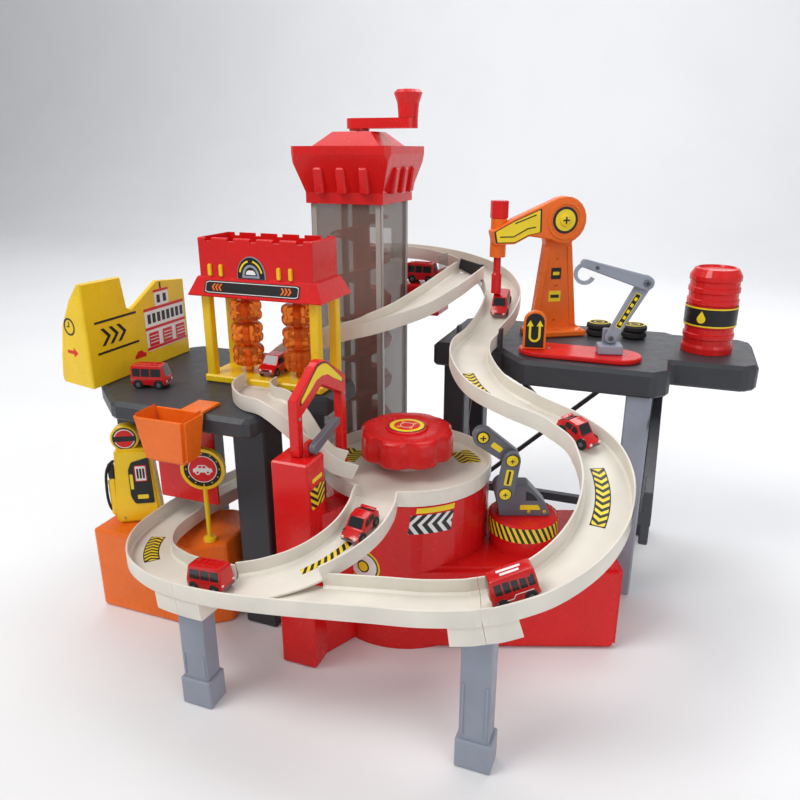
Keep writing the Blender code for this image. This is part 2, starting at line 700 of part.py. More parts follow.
def build_tracks():
    """The upper, branch, long, front and return tracks, the ramp, the slide and the gate."""
    ivory = material("ivory", IVORY, 0.38)
    upper_path = smooth_path(UPPER_PATH)
    branch_path = smooth_path(BRANCH_PATH)
    long_path = smooth_path(LONG_PATH)
    front_path = smooth_path(FRONT_PATH)
    return_path = smooth_path(RETURN_PATH)
    ramp_path = smooth_path(RAMP_PATH)
    upper = swept("upper_track", upper_path, channel_section(), ivory)
    build_gate(upper, upper_path)
    cut(upper, swept("branch_way", branch_path[1:], clear_section(), HIDDEN))
    branch = swept("branch_track", branch_path, channel_section(), ivory)
    cut(branch, swept("upper_room", upper_path, envelope_section(BRANCH_GAP), HIDDEN))
    long_run = swept("long_track", long_path, channel_section(), ivory)
    front = swept("front_track", front_path, channel_section(), ivory)
    back = swept("return_track", return_path, channel_section(), ivory)
    sockets = (("long", long_run, long_path[::-1]), ("front_right", front, front_path),
               ("front_left", front, front_path[::-1]), ("back", back, return_path))
    for label, track, path in sockets:
        join(track, swept(f"socket_{label}", stretch(path, SOCKET_HALF), socket_section(), HIDDEN))
    cut(front, swept("ramp_way", ramp_path[6:], clear_section(side=-0.0005), HIDDEN))
    ramp = swept("ramp", ramp_path, channel_section(), ivory)
    cut(ramp, swept("front_room", front_path, envelope_section(), HIDDEN),
        turned("platform_room", [(0, 0.05), (PLATFORM_RADIUS + FIT, 0.05),
                                 (PLATFORM_RADIUS + FIT, -0.03), (0, -0.03)],
               HIDDEN, (*BASE_CENTRE, BASE_TOP), steps=48))
    swept("slide", smooth_path(SLIDE_PATH), channel_section(SLIDE_WIDTH), ivory)
    build_rest(back, return_path)
    build_legs((("leg_right", long_path, front_path), ("leg_left", front_path, return_path)))


def height_on(path, spot):
    """The height of a path where it passes nearest to a spot."""
    nearest = []
    for first, second in zip(path, path[1:]):
        run = second.xy - first.xy
        share = (Vector(spot) - first.xy).dot(run) / run.length_squared
        point = first.lerp(second, min(max(share, 0.0), 1.0))
        nearest.append(((point.xy - Vector(spot)).length, point.z))
    return min(nearest)[1]


def build_rest(track, path):
    """The foot under the return track that stands on the orange block."""
    above = height_on(path, REST_SPOT) + TRACK_WALL / 2
    foot = ORANGE_TOP + FIT
    join(track, block("track_rest", (*REST_SIZE, above - foot), HIDDEN, (*REST_SPOT, (above + foot) / 2)))


def build_gate(track, path):
    """The switch flap that shuts the branch's mouth; its post turns on a pin in the track's floor."""
    floor = height_on(path, GATE_POST) + TRACK_WALL
    post_foot = floor + GATE_POST_LIFT
    pin_foot = floor - TRACK_WALL / 2 - post_foot
    cut(track, turned("pin_bore", [(0, TRACK_WALL), (GATE_PIN + FIT, TRACK_WALL),
                                   (GATE_PIN + FIT, -2 * TRACK_WALL), (0, -2 * TRACK_WALL)],
                      HIDDEN, (*GATE_POST, floor), steps=16))
    pivot = (*GATE_POST, post_foot)
    fall = 0.0090
    flap = plate("split_gate", [(0, 0), (GATE_LENGTH, fall), (GATE_LENGTH, fall + GATE_HEIGHT),
                                (0, GATE_HEIGHT + 0.004)],
                 GATE_THICKNESS, material("charcoal", CHARCOAL, 0.45),
                 (*GATE_POST, post_foot + GATE_LIFT), (UPRIGHT, 0, GATE_HEADING))
    post = turned("gate_post", [(0, GATE_HEIGHT + 0.006), (0.0022, GATE_HEIGHT + 0.006), (0.0022, 0),
                                (GATE_PIN, 0), (GATE_PIN, pin_foot), (0, pin_foot)], HIDDEN, pivot, steps=16)
    join(flap, post)


def build_legs(seams):
    """The two front legs, each standing under the sockets of a seam between two tracks."""
    grey = material("grey_blue", GREY_BLUE, 0.4)
    for name, before, after in seams:
        end = before[-1]
        leg = block(name, (LEG_WIDTH, LEG_DEPTH, end.z), grey, (end.x, end.y, end.z / 2), bevel=0.001)
        foot = block(name + "_foot", (LEG_WIDTH + LEG_FOOT, LEG_DEPTH + LEG_FOOT, LEG_FOOT_HEIGHT), HIDDEN,
                     (end.x, end.y, LEG_FOOT_HEIGHT / 2), bevel=0.001)
        join(leg, foot)
        over = stretch(before[::-1], SOCKET_HALF)[::-1] + stretch(after, SOCKET_HALF)[1:]
        room = rectangle(-TRACK_WIDTH / 2, TRACK_WIDTH / 2, -SOCKET_DROP - FIT, 0.05)
        cut(leg, swept(name + "_room", over, room, HIDDEN))


# Decks and posts

def deck_shell(name, outline, top, skirt, colour):
    """A deck: a plate with a skirt round it, open underneath."""
    body = plate(name, outline, skirt, colour, (0, 0, top - skirt / 2), bevel=DECK_BEVEL)
    hollow = plate(name + "_hollow", inset(outline, DECK_WALL), skirt, HIDDEN,
                   (0, 0, top - skirt / 2 - DECK_WALL))
    return cut(body, hollow)


def inset(outline, distance):
    """An outline moved inwards by a distance; it is listed counterclockwise."""
    result = []
    count = len(outline)
    for i, point in enumerate(outline):
        before = Vector(outline[i - 1])
        here = Vector(point)
        after = Vector(outline[(i + 1) % count])
        way_in = (here - before).normalized()
        way_out = (after - here).normalized()
        normal_in = Vector((-way_in.y, way_in.x))
        normal_out = Vector((-way_out.y, way_out.x))
        bisector = (normal_in + normal_out).normalized()
        result.append(tuple(here + bisector * (distance / max(bisector.dot(normal_in), 0.3))))
    return result


def build_left_deck():
    """The left deck with its posts, red panel, back wall and hopper."""
    x0, x1 = LEFT_DECK_X
    y0, y1 = LEFT_DECK_Y
    corner = LEFT_DECK_CORNER
    charcoal = material("charcoal", CHARCOAL, 0.45)
    outline = [(x0 + corner, y0), (x1 - 0.006, y0), (x1, y0 + 0.006), (x1, WASH_Y[0] - 0.024),
               (x1 + 0.012, WASH_Y[0] - 0.008), (x1 + 0.036, WASH_Y[0]), (x1 + 0.036, WASH_Y[1] + 0.006),
               (x1 - 0.048, WASH_Y[1] + 0.038), (x1 - 0.048, y1), (x0 + 0.012, y1),
               (x0, y1 - 0.012), (x0, y0 + corner * 0.85)]
    deck_shell("left_deck", outline, LEFT_DECK_TOP, LEFT_DECK_SKIRT, charcoal)

    under = LEFT_DECK_TOP - DECK_WALL - FIT
    rail_height = 0.012
    frame = None
    for index, (x, y, wide, deep) in enumerate(LEFT_POSTS):
        name = "left_frame" if frame is None else f"left_post_{index}"
        post = block(name, (wide, deep, under), charcoal if frame is None else HIDDEN,
                     (x, y, under / 2), bevel=0.0015)
        frame = post if frame is None else join(frame, post)
    for index, (first, second) in enumerate(((0, 1), (1, 2), (2, 3), (0, 3))):
        ax, ay = LEFT_POSTS[first][:2]
        bx, by = LEFT_POSTS[second][:2]
        length = math.hypot(bx - ax, by - ay)
        rail = block(f"left_rail_{index}", (length, RAIL, rail_height), HIDDEN,
                     ((ax + bx) / 2, (ay + by) / 2, under - rail_height / 2 - 0.001 * (index + 1)),
                     (0, 0, math.atan2(by - ay, bx - ax)), bevel=0)
        join(frame, rail)

    block("red_panel", (*PANEL_SIZE, under - PANEL_BOTTOM), material("red_base", RED),
          (*PANEL_CENTRE, (under + PANEL_BOTTOM) / 2), bevel=0.001)
    build_sign_wall((x0 + 0.011, -0.150, LEFT_DECK_TOP + FIT))

    hopper_top = LEFT_DECK_TOP + 0.006
    hopper_y = y0 - HOPPER_SIZE[1] / 2 - 0.0005
    middle = hopper_top - HOPPER_SIZE[2] / 2
    upside_down = (math.radians(180), 0, 0)
    hopper = block("hopper", HOPPER_SIZE, material("orange", ORANGE, 0.3),
                   (HOPPER_CENTRE_X, hopper_y, middle), upside_down,
                   bevel=0.003, steps=2, scale_top=(0.80, 0.72))
    inside = (HOPPER_SIZE[0] - 2 * HOPPER_WALL, HOPPER_SIZE[1] - 2 * HOPPER_WALL, HOPPER_SIZE[2] + 0.002)
    room = block("hopper_room", inside, HIDDEN,
                 (HOPPER_CENTRE_X, hopper_y, middle + HOPPER_WALL + 0.002), upside_down,
                 bevel=0, scale_top=(0.80, 0.72))
    cut(hopper, room)
    lip = block("hopper_lip", (0.022, 0.030, 0.0022), HIDDEN,
                (HOPPER_CENTRE_X + 0.0115, y0 + 0.0120, LEFT_DECK_TOP + FIT + 0.0014), bevel=0)
    join(hopper, lip)


def build_sign_wall(foot):
    """The yellow wall along the deck's left edge, with its wing folded out at the front end."""
    half = WALL_LENGTH / 2
    high = WALL_HEIGHT
    yellow = material("yellow", YELLOW, 0.35)
    wall = plate("sign_wall", [
        (-half, 0), (half, 0), (half, high * 0.82), (half * 0.40, high * 0.87), (-half * 0.16, high * 0.65),
        (-half * 0.24, high * 0.68), (-half * 0.30, high * 0.99), (-half, high)],
        WALL_THICKNESS, yellow, foot, (UPRIGHT, 0, UPRIGHT), bevel=0.001)
    reach = WALL_WING
    wing = plate("sign_wing", [
        (-WALL_THICKNESS * 0.4, 0.0004), (reach * 0.96, 0.0004), (reach, high * 0.05), (reach * 0.93, high * 0.24),
        (reach * 0.74, high * 0.57), (reach * 0.38, high * 0.83), (reach * 0.06, high * 0.985),
        (-WALL_THICKNESS * 0.4, high * 0.985)],
        WALL_THICKNESS * 0.96, HIDDEN, (foot[0], foot[1] - half + WALL_THICKNESS * 0.55, foot[2]),
        (UPRIGHT, 0, WALL_WING_HEADING), bevel=0)
    return join(wall, wing)


def build_right_deck():
    """The right deck with its annex, post, back frame and the long track's bracket."""
    x0, x1 = RIGHT_DECK_X
    y0, y1 = RIGHT_DECK_Y
    step = RIGHT_DECK_STEP
    charcoal = material("charcoal", CHARCOAL, 0.45)
    notch = RIGHT_DECK_NOTCH
    outline = [(x0, y0 + step), (notch - 0.014, y0 + step), (notch + 0.016, y0), (x1 - 0.014, y0),
               (x1, y0 + 0.014), (x1, ANNEX_Y[0]), (ANNEX_X - 0.012, ANNEX_Y[0]),
               (ANNEX_X, ANNEX_Y[0] + 0.012), (ANNEX_X, ANNEX_Y[1] - 0.012),
               (ANNEX_X - 0.012, ANNEX_Y[1]), (x1, ANNEX_Y[1]), (x1 - 0.008, y1), (x0 + 0.012, y1),
               (x0, y1 - 0.012)]
    deck = deck_shell("right_deck", outline, RIGHT_DECK_TOP, RIGHT_DECK_SKIRT, charcoal)
    seam_x, seam_y = UPPER_PATH[-1][:2]
    for side in (-1, 1):
        ear = block(f"seam_ear_{side + 1}", (0.0030, 0.009, 0.022), HIDDEN,
                    (seam_x + side * (TRACK_WIDTH / 2 + 0.0028), seam_y + 0.0060, RIGHT_DECK_TOP + 0.009),
                    bevel=0)
        join(deck, ear)
    under = RIGHT_DECK_TOP - DECK_WALL - FIT
    block("right_post", (SMALL_POST, SMALL_POST, under), material("grey_blue", GREY_BLUE, 0.4),
          (0.306, y0 + 0.0170, under / 2), bevel=0.0015)

    frame = None
    for index, (x, y) in enumerate(RIGHT_POSTS):
        name = "right_frame" if frame is None else f"right_back_post_{index}"
        post = block(name, (SMALL_POST, SMALL_POST, under), charcoal if frame is None else HIDDEN,
                     (x, y, under / 2), bevel=0.0015)
        frame = post if frame is None else join(frame, post)
    for bay, ((ax, ay), (bx, by)) in enumerate(zip(RIGHT_POSTS, RIGHT_POSTS[1:])):
        length = math.hypot(bx - ax, by - ay)
        heading = math.atan2(by - ay, bx - ax)
        for level in (0.030, under - 0.010):
            rail = block(f"right_rail_{bay}_{level:.3f}", (length, RAIL - 0.002, RAIL), HIDDEN,
                         ((ax + bx) / 2, (ay + by) / 2, level + 0.0007 * bay), (0, 0, heading), bevel=0)
            join(frame, rail)
        rise = under - 0.040
        slope = math.atan2(rise, length)
        for lean in (1, -1):
            brace = block(f"right_brace_{bay}_{lean + 1}", (math.hypot(length, rise), BRACE, BRACE), HIDDEN,
                          ((ax + bx) / 2, (ay + by) / 2 + 0.0004 * lean, rise / 2 + 0.030),
                          (0, lean * slope, heading), bevel=0)
            join(frame, brace)
    back_x, back_y = RIGHT_POSTS[0]
    arm_x = back_x + SMALL_POST / 2 - BRACKET_WIDTH / 2
    arm_length = back_y - BRACKET_END
    arm = block("bracket_arm", (BRACKET_WIDTH, arm_length, RAIL), HIDDEN,
                (arm_x, back_y - arm_length / 2, BRACKET_HEIGHT), bevel=0)
    pad = block("bracket_pad", (BRACKET_WIDTH - 0.002, BRACKET_PAD, BRACKET_PAD * 1.4), HIDDEN,
                (arm_x + 0.0006, BRACKET_END + BRACKET_PAD / 2, BRACKET_HEIGHT), bevel=0.001)
    join(frame, arm, pad)


# Car wash

def build_wash():
    """The yellow stand, the red roof and the two lobed rollers."""
    x0, x1 = WASH_X
    y0, y1 = WASH_Y
    wide = x1 - x0
    deep = y1 - y0
    cx = (x0 + x1) / 2
    cy = (y0 + y1) / 2
    bottom = LEFT_DECK_TOP + FIT
    floor = LEFT_DECK_TOP + WASH_BASE
    yellow = material("yellow", YELLOW, 0.35)
    stand = block("wash_stand", (wide, deep, WASH_BASE - FIT), yellow,
                  (cx, cy, (bottom + floor) / 2), bevel=0.0015)
    post_x = wide / 2 - WASH_POST / 2 - 0.002
    post_y = deep / 2 - WASH_POST / 2 - 0.002
    for index, (sx, sy) in enumerate(((-1, -1), (1, -1), (-1, 1), (1, 1))):
        post = block(f"wash_post_{index}", (WASH_POST, WASH_POST, WASH_POST_TOP - floor + 0.002), HIDDEN,
                     (cx + sx * post_x, cy + sy * post_y, (WASH_POST_TOP + floor - 0.002) / 2), bevel=0.001)
        join(stand, post)

    roof_bottom = WASH_POST_TOP + FIT
    eave = block("wash_roof", (wide + WASH_EAVE, deep + WASH_EAVE, WASH_EAVE_RISE),
                 material("red_gloss", RED, 0.28), (cx, cy, roof_bottom + WASH_EAVE_RISE / 2),
                 bevel=0.001, scale_top=(0.875, 0.80))
    box_bottom = roof_bottom + WASH_EAVE_RISE - 0.002
    box_height = WASH_ROOF_TOP - box_bottom
    box = block("wash_roof_box", (wide * 0.93, deep * 0.98, box_height), HIDDEN,
                (cx, cy, box_bottom + box_height / 2), bevel=0.001)
    room = block("wash_roof_room", (wide * 0.93 - 0.006, deep * 0.98 - 0.006, box_height), HIDDEN,
                 (cx, cy, box_bottom + box_height / 2 + 0.006), bevel=0)
    join(eave, box)
    cut(eave, room)
    notches = 5
    for index in range(notches):
        along = (index - (notches - 1) / 2) * wide * 0.93 / notches
        notch = block(f"wash_notch_{index}", (0.007, deep + 0.02, WASH_CRENEL), HIDDEN,
                      (cx + along, cy, WASH_ROOF_TOP), bevel=0)
        cut(eave, notch)

    amber = material("amber", AMBER, 0.25)
    length = WASH_POST_TOP - floor
    stack = 3 * ROLLER_DRUM + 2 * ROLLER_GAP
    for name, side in (("wash_roller_left", -1), ("wash_roller_right", 1)):
        axis = (cx + side * ROLLER_SPACING * 0.86, cy, floor)
        roller = turned(name, [(0, length - FIT), (ROLLER_CORE, length - FIT), (ROLLER_CORE, FIT), (0, FIT)],
                        amber, axis, steps=10)
        for level in range(3):
            height = (length - stack) / 2 + ROLLER_DRUM / 2 + level * (ROLLER_DRUM + ROLLER_GAP)
            drum = plate(f"{name}_{level}", lobed(ROLLER_RADIUS, 0.003, ROLLER_LOBES, 4), ROLLER_DRUM,
                         HIDDEN, (axis[0], axis[1], floor + height),
                         (0, 0, OFF_SEAM * (level + 1)))
            join(roller, drum)


# Central base, platform, dial, arch and lever

def build_base():
    """The red base with its column, storage bin and pedestal, and what stands on it."""
    red = material("red_base", RED, 0.3)
    cx, cy = BASE_CENTRE
    base = turned("central_base", [(0, BASE_TOP), (BASE_RADIUS - 0.0015, BASE_TOP),
                                   (BASE_RADIUS, BASE_TOP - 0.0015), (BASE_RADIUS, 0), (0, 0)],
                  red, (cx, cy, 0), steps=48)
    across = Vector((math.cos(BIN_ANGLE), math.sin(BIN_ANGLE), 0))
    away = Vector((-math.sin(BIN_ANGLE), math.cos(BIN_ANGLE), 0))
    middle = Vector((cx, cy, 0))
    bin_spot = middle + across * (BIN_LENGTH / 2) + away * (BIN_DEPTH / 2 - BASE_RADIUS + 0.0012)
    store = block("bin", (BIN_LENGTH, BIN_DEPTH, BIN_TOP - 0.0004), HIDDEN,
                  (bin_spot.x, bin_spot.y, BIN_TOP / 2 + 0.0002), (0, 0, BIN_ANGLE), bevel=0.004, steps=2)
    pedestal = turned("pedestal", [(0, PEDESTAL_TOP), (TURNTABLE_RADIUS - 0.002, PEDESTAL_TOP),
                                   (TURNTABLE_RADIUS - 0.002, BIN_TOP - 0.006), (0, BIN_TOP - 0.006)],
                      HIDDEN, (*TURNTABLE_CENTRE, 0), steps=32)
    column = block("column", (*COLUMN_SIZE, COLUMN_TOP), HIDDEN,
                   (*COLUMN_CENTRE, COLUMN_TOP / 2), bevel=0.0015)
    reach = Vector(BASE_CENTRE) - Vector(COLUMN_CENTRE)
    bridge_height = BASE_TOP - 0.006
    bridge = block("bridge", (reach.length * 0.72, COLUMN_SIZE[0] * 0.7, bridge_height), HIDDEN,
                   (COLUMN_CENTRE[0] + reach.x * 0.38, COLUMN_CENTRE[1] + reach.y * 0.38,
                    bridge_height / 2 + 0.001), (0, 0, math.atan2(reach.y, reach.x)), bevel=0)
    ear_thickness = 0.0032
    ear_x = LEVER_PIVOT[0] - LEVER_THICKNESS / 2 - FIT - ear_thickness / 2
    ear = block("lever_ear", (ear_thickness, 0.010, 0.014), HIDDEN,
                (ear_x, LEVER_PIVOT[1], COLUMN_TOP + 0.005), bevel=0)
    join(base, store, pedestal, column, bridge, ear)

    ivory = material("ivory", IVORY, 0.38)
    floor_bottom = BASE_TOP + FIT
    floor_top = floor_bottom + PLATFORM_FLOOR
    rim_top = BASE_TOP + PLATFORM_RIM
    bore = DIAL_PIN + RUN
    platform = turned("platform_track", [
        (PLATFORM_RADIUS, rim_top), (PLATFORM_RADIUS, floor_bottom), (bore, floor_bottom),
        (bore, DIAL_BOTTOM - FIT), (DIAL_HUB, DIAL_BOTTOM - FIT), (DIAL_HUB, floor_top),
        (PLATFORM_RADIUS - TRACK_WALL, floor_top), (PLATFORM_RADIUS - TRACK_WALL, rim_top)],
        ivory, (cx, cy, 0), steps=48, closed=True)
    mouth = swept("ramp_mouth", smooth_path(RAMP_PATH)[:5], clear_section(), HIDDEN)
    step_hole = block("arch_hole", (ARCH_POST + 2 * RUN, ARCH_POST + 2 * RUN, 0.02), HIDDEN,
                      (*ARCH_BACK, floor_bottom), (0, 0, ARCH_HEADING), bevel=0)
    cut(platform, mouth, step_hole)

    thick = DIAL_TOP - DIAL_BOTTOM
    dial = plate("dial", lobed(DIAL_RADIUS, DIAL_LOBE, DIAL_LOBES, 6), thick,
                 material("red_gloss", RED, 0.28), (cx, cy, (DIAL_TOP + DIAL_BOTTOM) / 2), bevel=0.003, steps=2)
    pin = turned("dial_pin", [(0, DIAL_BOTTOM + 0.004), (DIAL_PIN, DIAL_BOTTOM + 0.004),
                              (DIAL_PIN, floor_bottom + 0.001), (0, floor_bottom + 0.001)],
                 HIDDEN, (cx, cy, 0), steps=16)
    boss = turned("dial_boss", [(0, DIAL_TOP + 0.0015), (0.0195, DIAL_TOP + 0.0015), (0.0205, DIAL_TOP - 0.002),
                                (0, DIAL_TOP - 0.002)], HIDDEN, (cx, cy, 0), steps=32)
    join(dial, pin, boss)
    build_arch()
    build_lever()


def build_arch():
    """The service arch over the slide, its front foot on the column."""
    span = math.dist(ARCH_FRONT, ARCH_BACK)
    half = ARCH_POST / 2
    front_foot = COLUMN_TOP + FIT
    back_foot = BASE_TOP + FIT
    middle = span / 2
    crown = arc((middle, ARCH_PEAK - 0.018), 0.018, 55, 125, 4)
    outline = [(-half, front_foot), (half, front_foot), (half, ARCH_SHOULDER - ARCH_BAND * 0.75),
               (middle, ARCH_PEAK - ARCH_BAND - 0.002), (span - half, ARCH_SHOULDER - ARCH_BAND * 0.75),
               (span - half, back_foot), (span + half, back_foot), (span + half, ARCH_SHOULDER),
               *crown, (-half, ARCH_SHOULDER)]
    plate("arch", outline, ARCH_POST, material("red_gloss", RED, 0.28),
          (*ARCH_FRONT, 0), (UPRIGHT, 0, ARCH_HEADING), bevel=0.001)


def build_lever():
    """The grey barrier lever over the slide, turning on its ear."""
    plate("lever", tapered_link(LEVER_LENGTH, LEVER_RADIUS, LEVER_RADIUS - 0.0012), LEVER_THICKNESS,
          material("robot_grey", ROBOT_GREY, 0.4), LEVER_PIVOT,
          (UPRIGHT, -LEVER_RISE, UPRIGHT), bevel=0.0008)


# Robot arm

def in_plane(origin, heading, point, offset=0.0):
    """A point of an upright plane: along it, up, and offset towards the front."""
    along, up = point
    x = origin[0] + along * math.cos(heading) + offset * math.sin(heading)
    y = origin[1] + along * math.sin(heading) - offset * math.cos(heading)
    return (x, y, up)


def link_between(name, origin, heading, first, second, radii, thickness, colour, offset):
    """An arm from one pivot to the next in an upright plane, its origin on the first."""
    dx = second[0] - first[0]
    dz = second[1] - first[1]
    return plate(name, tapered_link(math.hypot(dx, dz), *radii), thickness, colour,
                 in_plane(origin, heading, first, offset),
                 upright_turn(heading, math.atan2(dz, dx)), bevel=0.001)


def upright_turn(heading, tilt):
    """The turn that stands a flat outline up on a heading, tilted in its plane."""
    matrix = (Matrix.Rotation(heading, 3, "Z") @ Matrix.Rotation(UPRIGHT, 3, "X")
              @ Matrix.Rotation(tilt, 3, "Z"))
    return matrix.to_euler()


def build_robot():
    """The turntable, the grey foot and the two arm links."""
    grey = material("robot_grey", ROBOT_GREY, 0.4)
    bottom = PEDESTAL_TOP + FIT
    top = bottom + TURNTABLE_HEIGHT
    turned("robot_turntable", [(0, top), (TURNTABLE_RADIUS - 0.003, top), (TURNTABLE_RADIUS, top - 0.002),
                               (TURNTABLE_RADIUS, bottom), (0, bottom)],
           material("red_gloss", RED, 0.28), (*TURNTABLE_CENTRE, 0), steps=40)
    sx, sz = ROBOT_SHOULDER
    r = ROBOT_JOINT + 0.001
    outline = [(-0.024, top + FIT), (0.024, top + FIT), (0.019, top + 0.013), (0.002, top + 0.032),
               *arc((sx, sz), r, 40, 200, 6), (-0.026, top + 0.010)]
    plate("robot_foot", outline, 0.018, grey, (*TURNTABLE_CENTRE, 0),
          (UPRIGHT, 0, ROBOT_HEADING), bevel=0.0015)
    link_between("robot_lower_arm", TURNTABLE_CENTRE, ROBOT_HEADING, ROBOT_SHOULDER, ROBOT_ELBOW,
                 (ROBOT_JOINT, ROBOT_JOINT - 0.0005), 0.007, grey, 0.009 + FIT + 0.0035)
    link_between("robot_upper_arm", TURNTABLE_CENTRE, ROBOT_HEADING, ROBOT_ELBOW, ROBOT_TIP,
                 (ROBOT_JOINT - 0.0005, ROBOT_JOINT + 0.001), 0.010, grey, 0.009 - FIT - 0.005)


# Deck-top toys

def build_right_top():
    """The red plate, both cranes, the small plaque, the tyres and the drum."""
    top = RIGHT_DECK_TOP
    plate_bottom = top + FIT
    radius = PLATE_DEPTH / 2
    reach = PLATE_LENGTH / 2 - radius
    stadium = arc((reach, 0), radius, -90, 90, 10) + arc((-reach, 0), radius, 90, 270, 10)
    plate("red_plate", stadium, PLATE_HEIGHT, material("red_gloss", RED, 0.28),
          (*PLATE_CENTRE, plate_bottom + PLATE_HEIGHT / 2), bevel=0.001)
    build_crane(plate_bottom)
    build_hook_crane(plate_bottom + PLATE_HEIGHT + FIT)

    half = PLAQUE_WIDTH / 2
    plaque = [(-half, 0), (half, 0)] + arc((0, PLAQUE_SHOULDER), half, 0, 180, 10)
    plate("plaque", plaque, 0.006, material("orange", ORANGE, 0.3),
          (*PLAQUE_CENTRE, plate_bottom + PLATE_HEIGHT + FIT), (UPRIGHT, 0, math.radians(12)), bevel=0.001)

    black = material("black_rubber", BLACK, 0.6)
    for name, spot in TYRE_SPOTS.items():
        profile = [(0, TYRE_COUNT * TYRE_HEIGHT)]
        for level in reversed(range(TYRE_COUNT)):
            low = level * TYRE_HEIGHT
            high = low + TYRE_HEIGHT
            profile += [(TYRE_RADIUS - 0.0025, high), (TYRE_RADIUS, high - 0.002), (TYRE_RADIUS, low + 0.002),
                        (TYRE_RADIUS - 0.0025, low)]
        profile.append((0, 0))
        profile = [p for i, p in enumerate(profile) if i == 0 or p != profile[i - 1]]
        turned(name, profile, black, (*spot, plate_bottom), steps=24)

    ribs = []
    pitch = (DRUM_HEIGHT - 0.016) / DRUM_BANDS
    for index in range(DRUM_BANDS):
        high = DRUM_HEIGHT - 0.008 - index * pitch
        low = high - pitch * 0.45
        ribs += [(DRUM_RADIUS, high), (DRUM_RADIUS, low + 0.001), (DRUM_RADIUS - 0.0012, low),
                 (DRUM_RADIUS - 0.0012, high - pitch + 0.001)]
    profile = [(0, DRUM_HEIGHT - 0.002), (DRUM_RADIUS - 0.008, DRUM_HEIGHT - 0.002),
               (DRUM_RADIUS - 0.007, DRUM_HEIGHT), (DRUM_RADIUS - 0.004, DRUM_HEIGHT - 0.001), *ribs,
               (DRUM_RADIUS, 0.006), (DRUM_RADIUS, 0), (0, 0)]
    turned("drum", profile, material("red_gloss", RED, 0.28), (*DRUM_CENTRE, plate_bottom), steps=28)


def roof_under(stops, position, kind, spot):
    """The height, over a spot, of the flat of a track car's roof."""
    stand, heading, pitch = on_track(stops, position)
    tilt = math.sin(pitch)
    up = Vector((math.cos(heading) * tilt, math.sin(heading) * tilt, math.cos(pitch)))
    roof = stand + up * max(z for x, z in CAR_SHAPES[kind]) * CAR_HEIGHT
    away = Vector(spot) - roof.xy
    return roof.z - up.xy.dot(away) / up.z


def build_crane(bottom):
    """The orange crane: its tower, the tilting arm and the spindle in the arm's end."""
    orange = material("orange", ORANGE, 0.3)
    spindle_bottom = roof_under(UPPER_PATH, LIFTED_CAR_STOP, LIFTED_CAR, SPINDLE) + SPINDLE_OVER_ROOF
    head_height = spindle_bottom + SPINDLE_DROP
    sleeve_top = head_height + CRANE_SLEEVE_RISE
    spindle_top = sleeve_top + SPINDLE_RISE
    heading = math.atan2(CRANE_CENTRE[1] - SPINDLE[1], CRANE_CENTRE[0] - SPINDLE[0])
    reach = math.dist(CRANE_CENTRE, SPINDLE)
    head = (0, head_height)
    tower_outline = [(-0.034, bottom), (0.034, bottom), (0.034, bottom + 0.006), (0.027, bottom + 0.010),
                     (0.016, head_height - 0.026), *arc(head, CRANE_HEAD_RADIUS - 0.004, -20, 200, 12),
                     (-0.014, head_height - 0.026), (-0.024, bottom + 0.010), (-0.034, bottom + 0.006)]
    side = CRANE_THICKNESS / 2 + FIT / 2
    tower_spot = in_plane(CRANE_CENTRE, heading, (0, 0), -side)
    tower = plate("crane_tower", tower_outline, CRANE_THICKNESS, orange, tower_spot,
                  (UPRIGHT, 0, heading), bevel=0.002)
    flange = block("crane_flange", (0.066, 0.034, 0.007), HIDDEN,
                   (CRANE_CENTRE[0], CRANE_CENTRE[1], bottom + 0.0036), (0, 0, heading), bevel=0.0015)
    join(tower, flange)

    arm_outline = [*arc(head, CRANE_HEAD_RADIUS, -125, 110, 14), (-reach + 0.012, head_height + 0.002),
                   (-reach - 0.012, head_height - 0.010), (-reach - 0.008, head_height - 0.024),
                   (-reach + 0.014, head_height - 0.024), (-reach + 0.030, head_height - 0.016)]
    pivot = in_plane(CRANE_CENTRE, heading, (0, head_height), side)
    local = [(x, z - head_height) for x, z in arm_outline]
    arm = plate("crane_arm", local, CRANE_THICKNESS, orange, pivot, (UPRIGHT, 0, heading), bevel=0.002)
    sleeve = turned("crane_sleeve", [(0, sleeve_top), (0.0085, sleeve_top),
                                     (0.0085, head_height - 0.038), (0, head_height - 0.038)],
                    HIDDEN, (*SPINDLE, 0), steps=20)
    bore = turned("crane_bore", [(0, head_height + 0.02), (SPINDLE_RADIUS + RUN, head_height + 0.02),
                                 (SPINDLE_RADIUS + RUN, head_height - 0.06),
                                 (0, head_height - 0.06)], HIDDEN, (*SPINDLE, 0), steps=16)
    join(arm, sleeve)
    cut(arm, bore)

    knob_bottom = sleeve_top + FIT
    rod = turned("crane_spindle", [(0, spindle_top), (SPINDLE_RADIUS, spindle_top),
                                   (SPINDLE_RADIUS, spindle_bottom + 0.022), (0.0055, spindle_bottom + 0.020),
                                   (0.0055, spindle_bottom), (0, spindle_bottom)],
                  material("red_screw", RED, 0.35), (*SPINDLE, 0), steps=16)
    knob = plate("spindle_knob", lobed(0.0098, 0.0012, 6, 4), SPINDLE_KNOB, HIDDEN,
                 (*SPINDLE, knob_bottom + SPINDLE_KNOB / 2), bevel=0.0012)
    join(rod, knob)


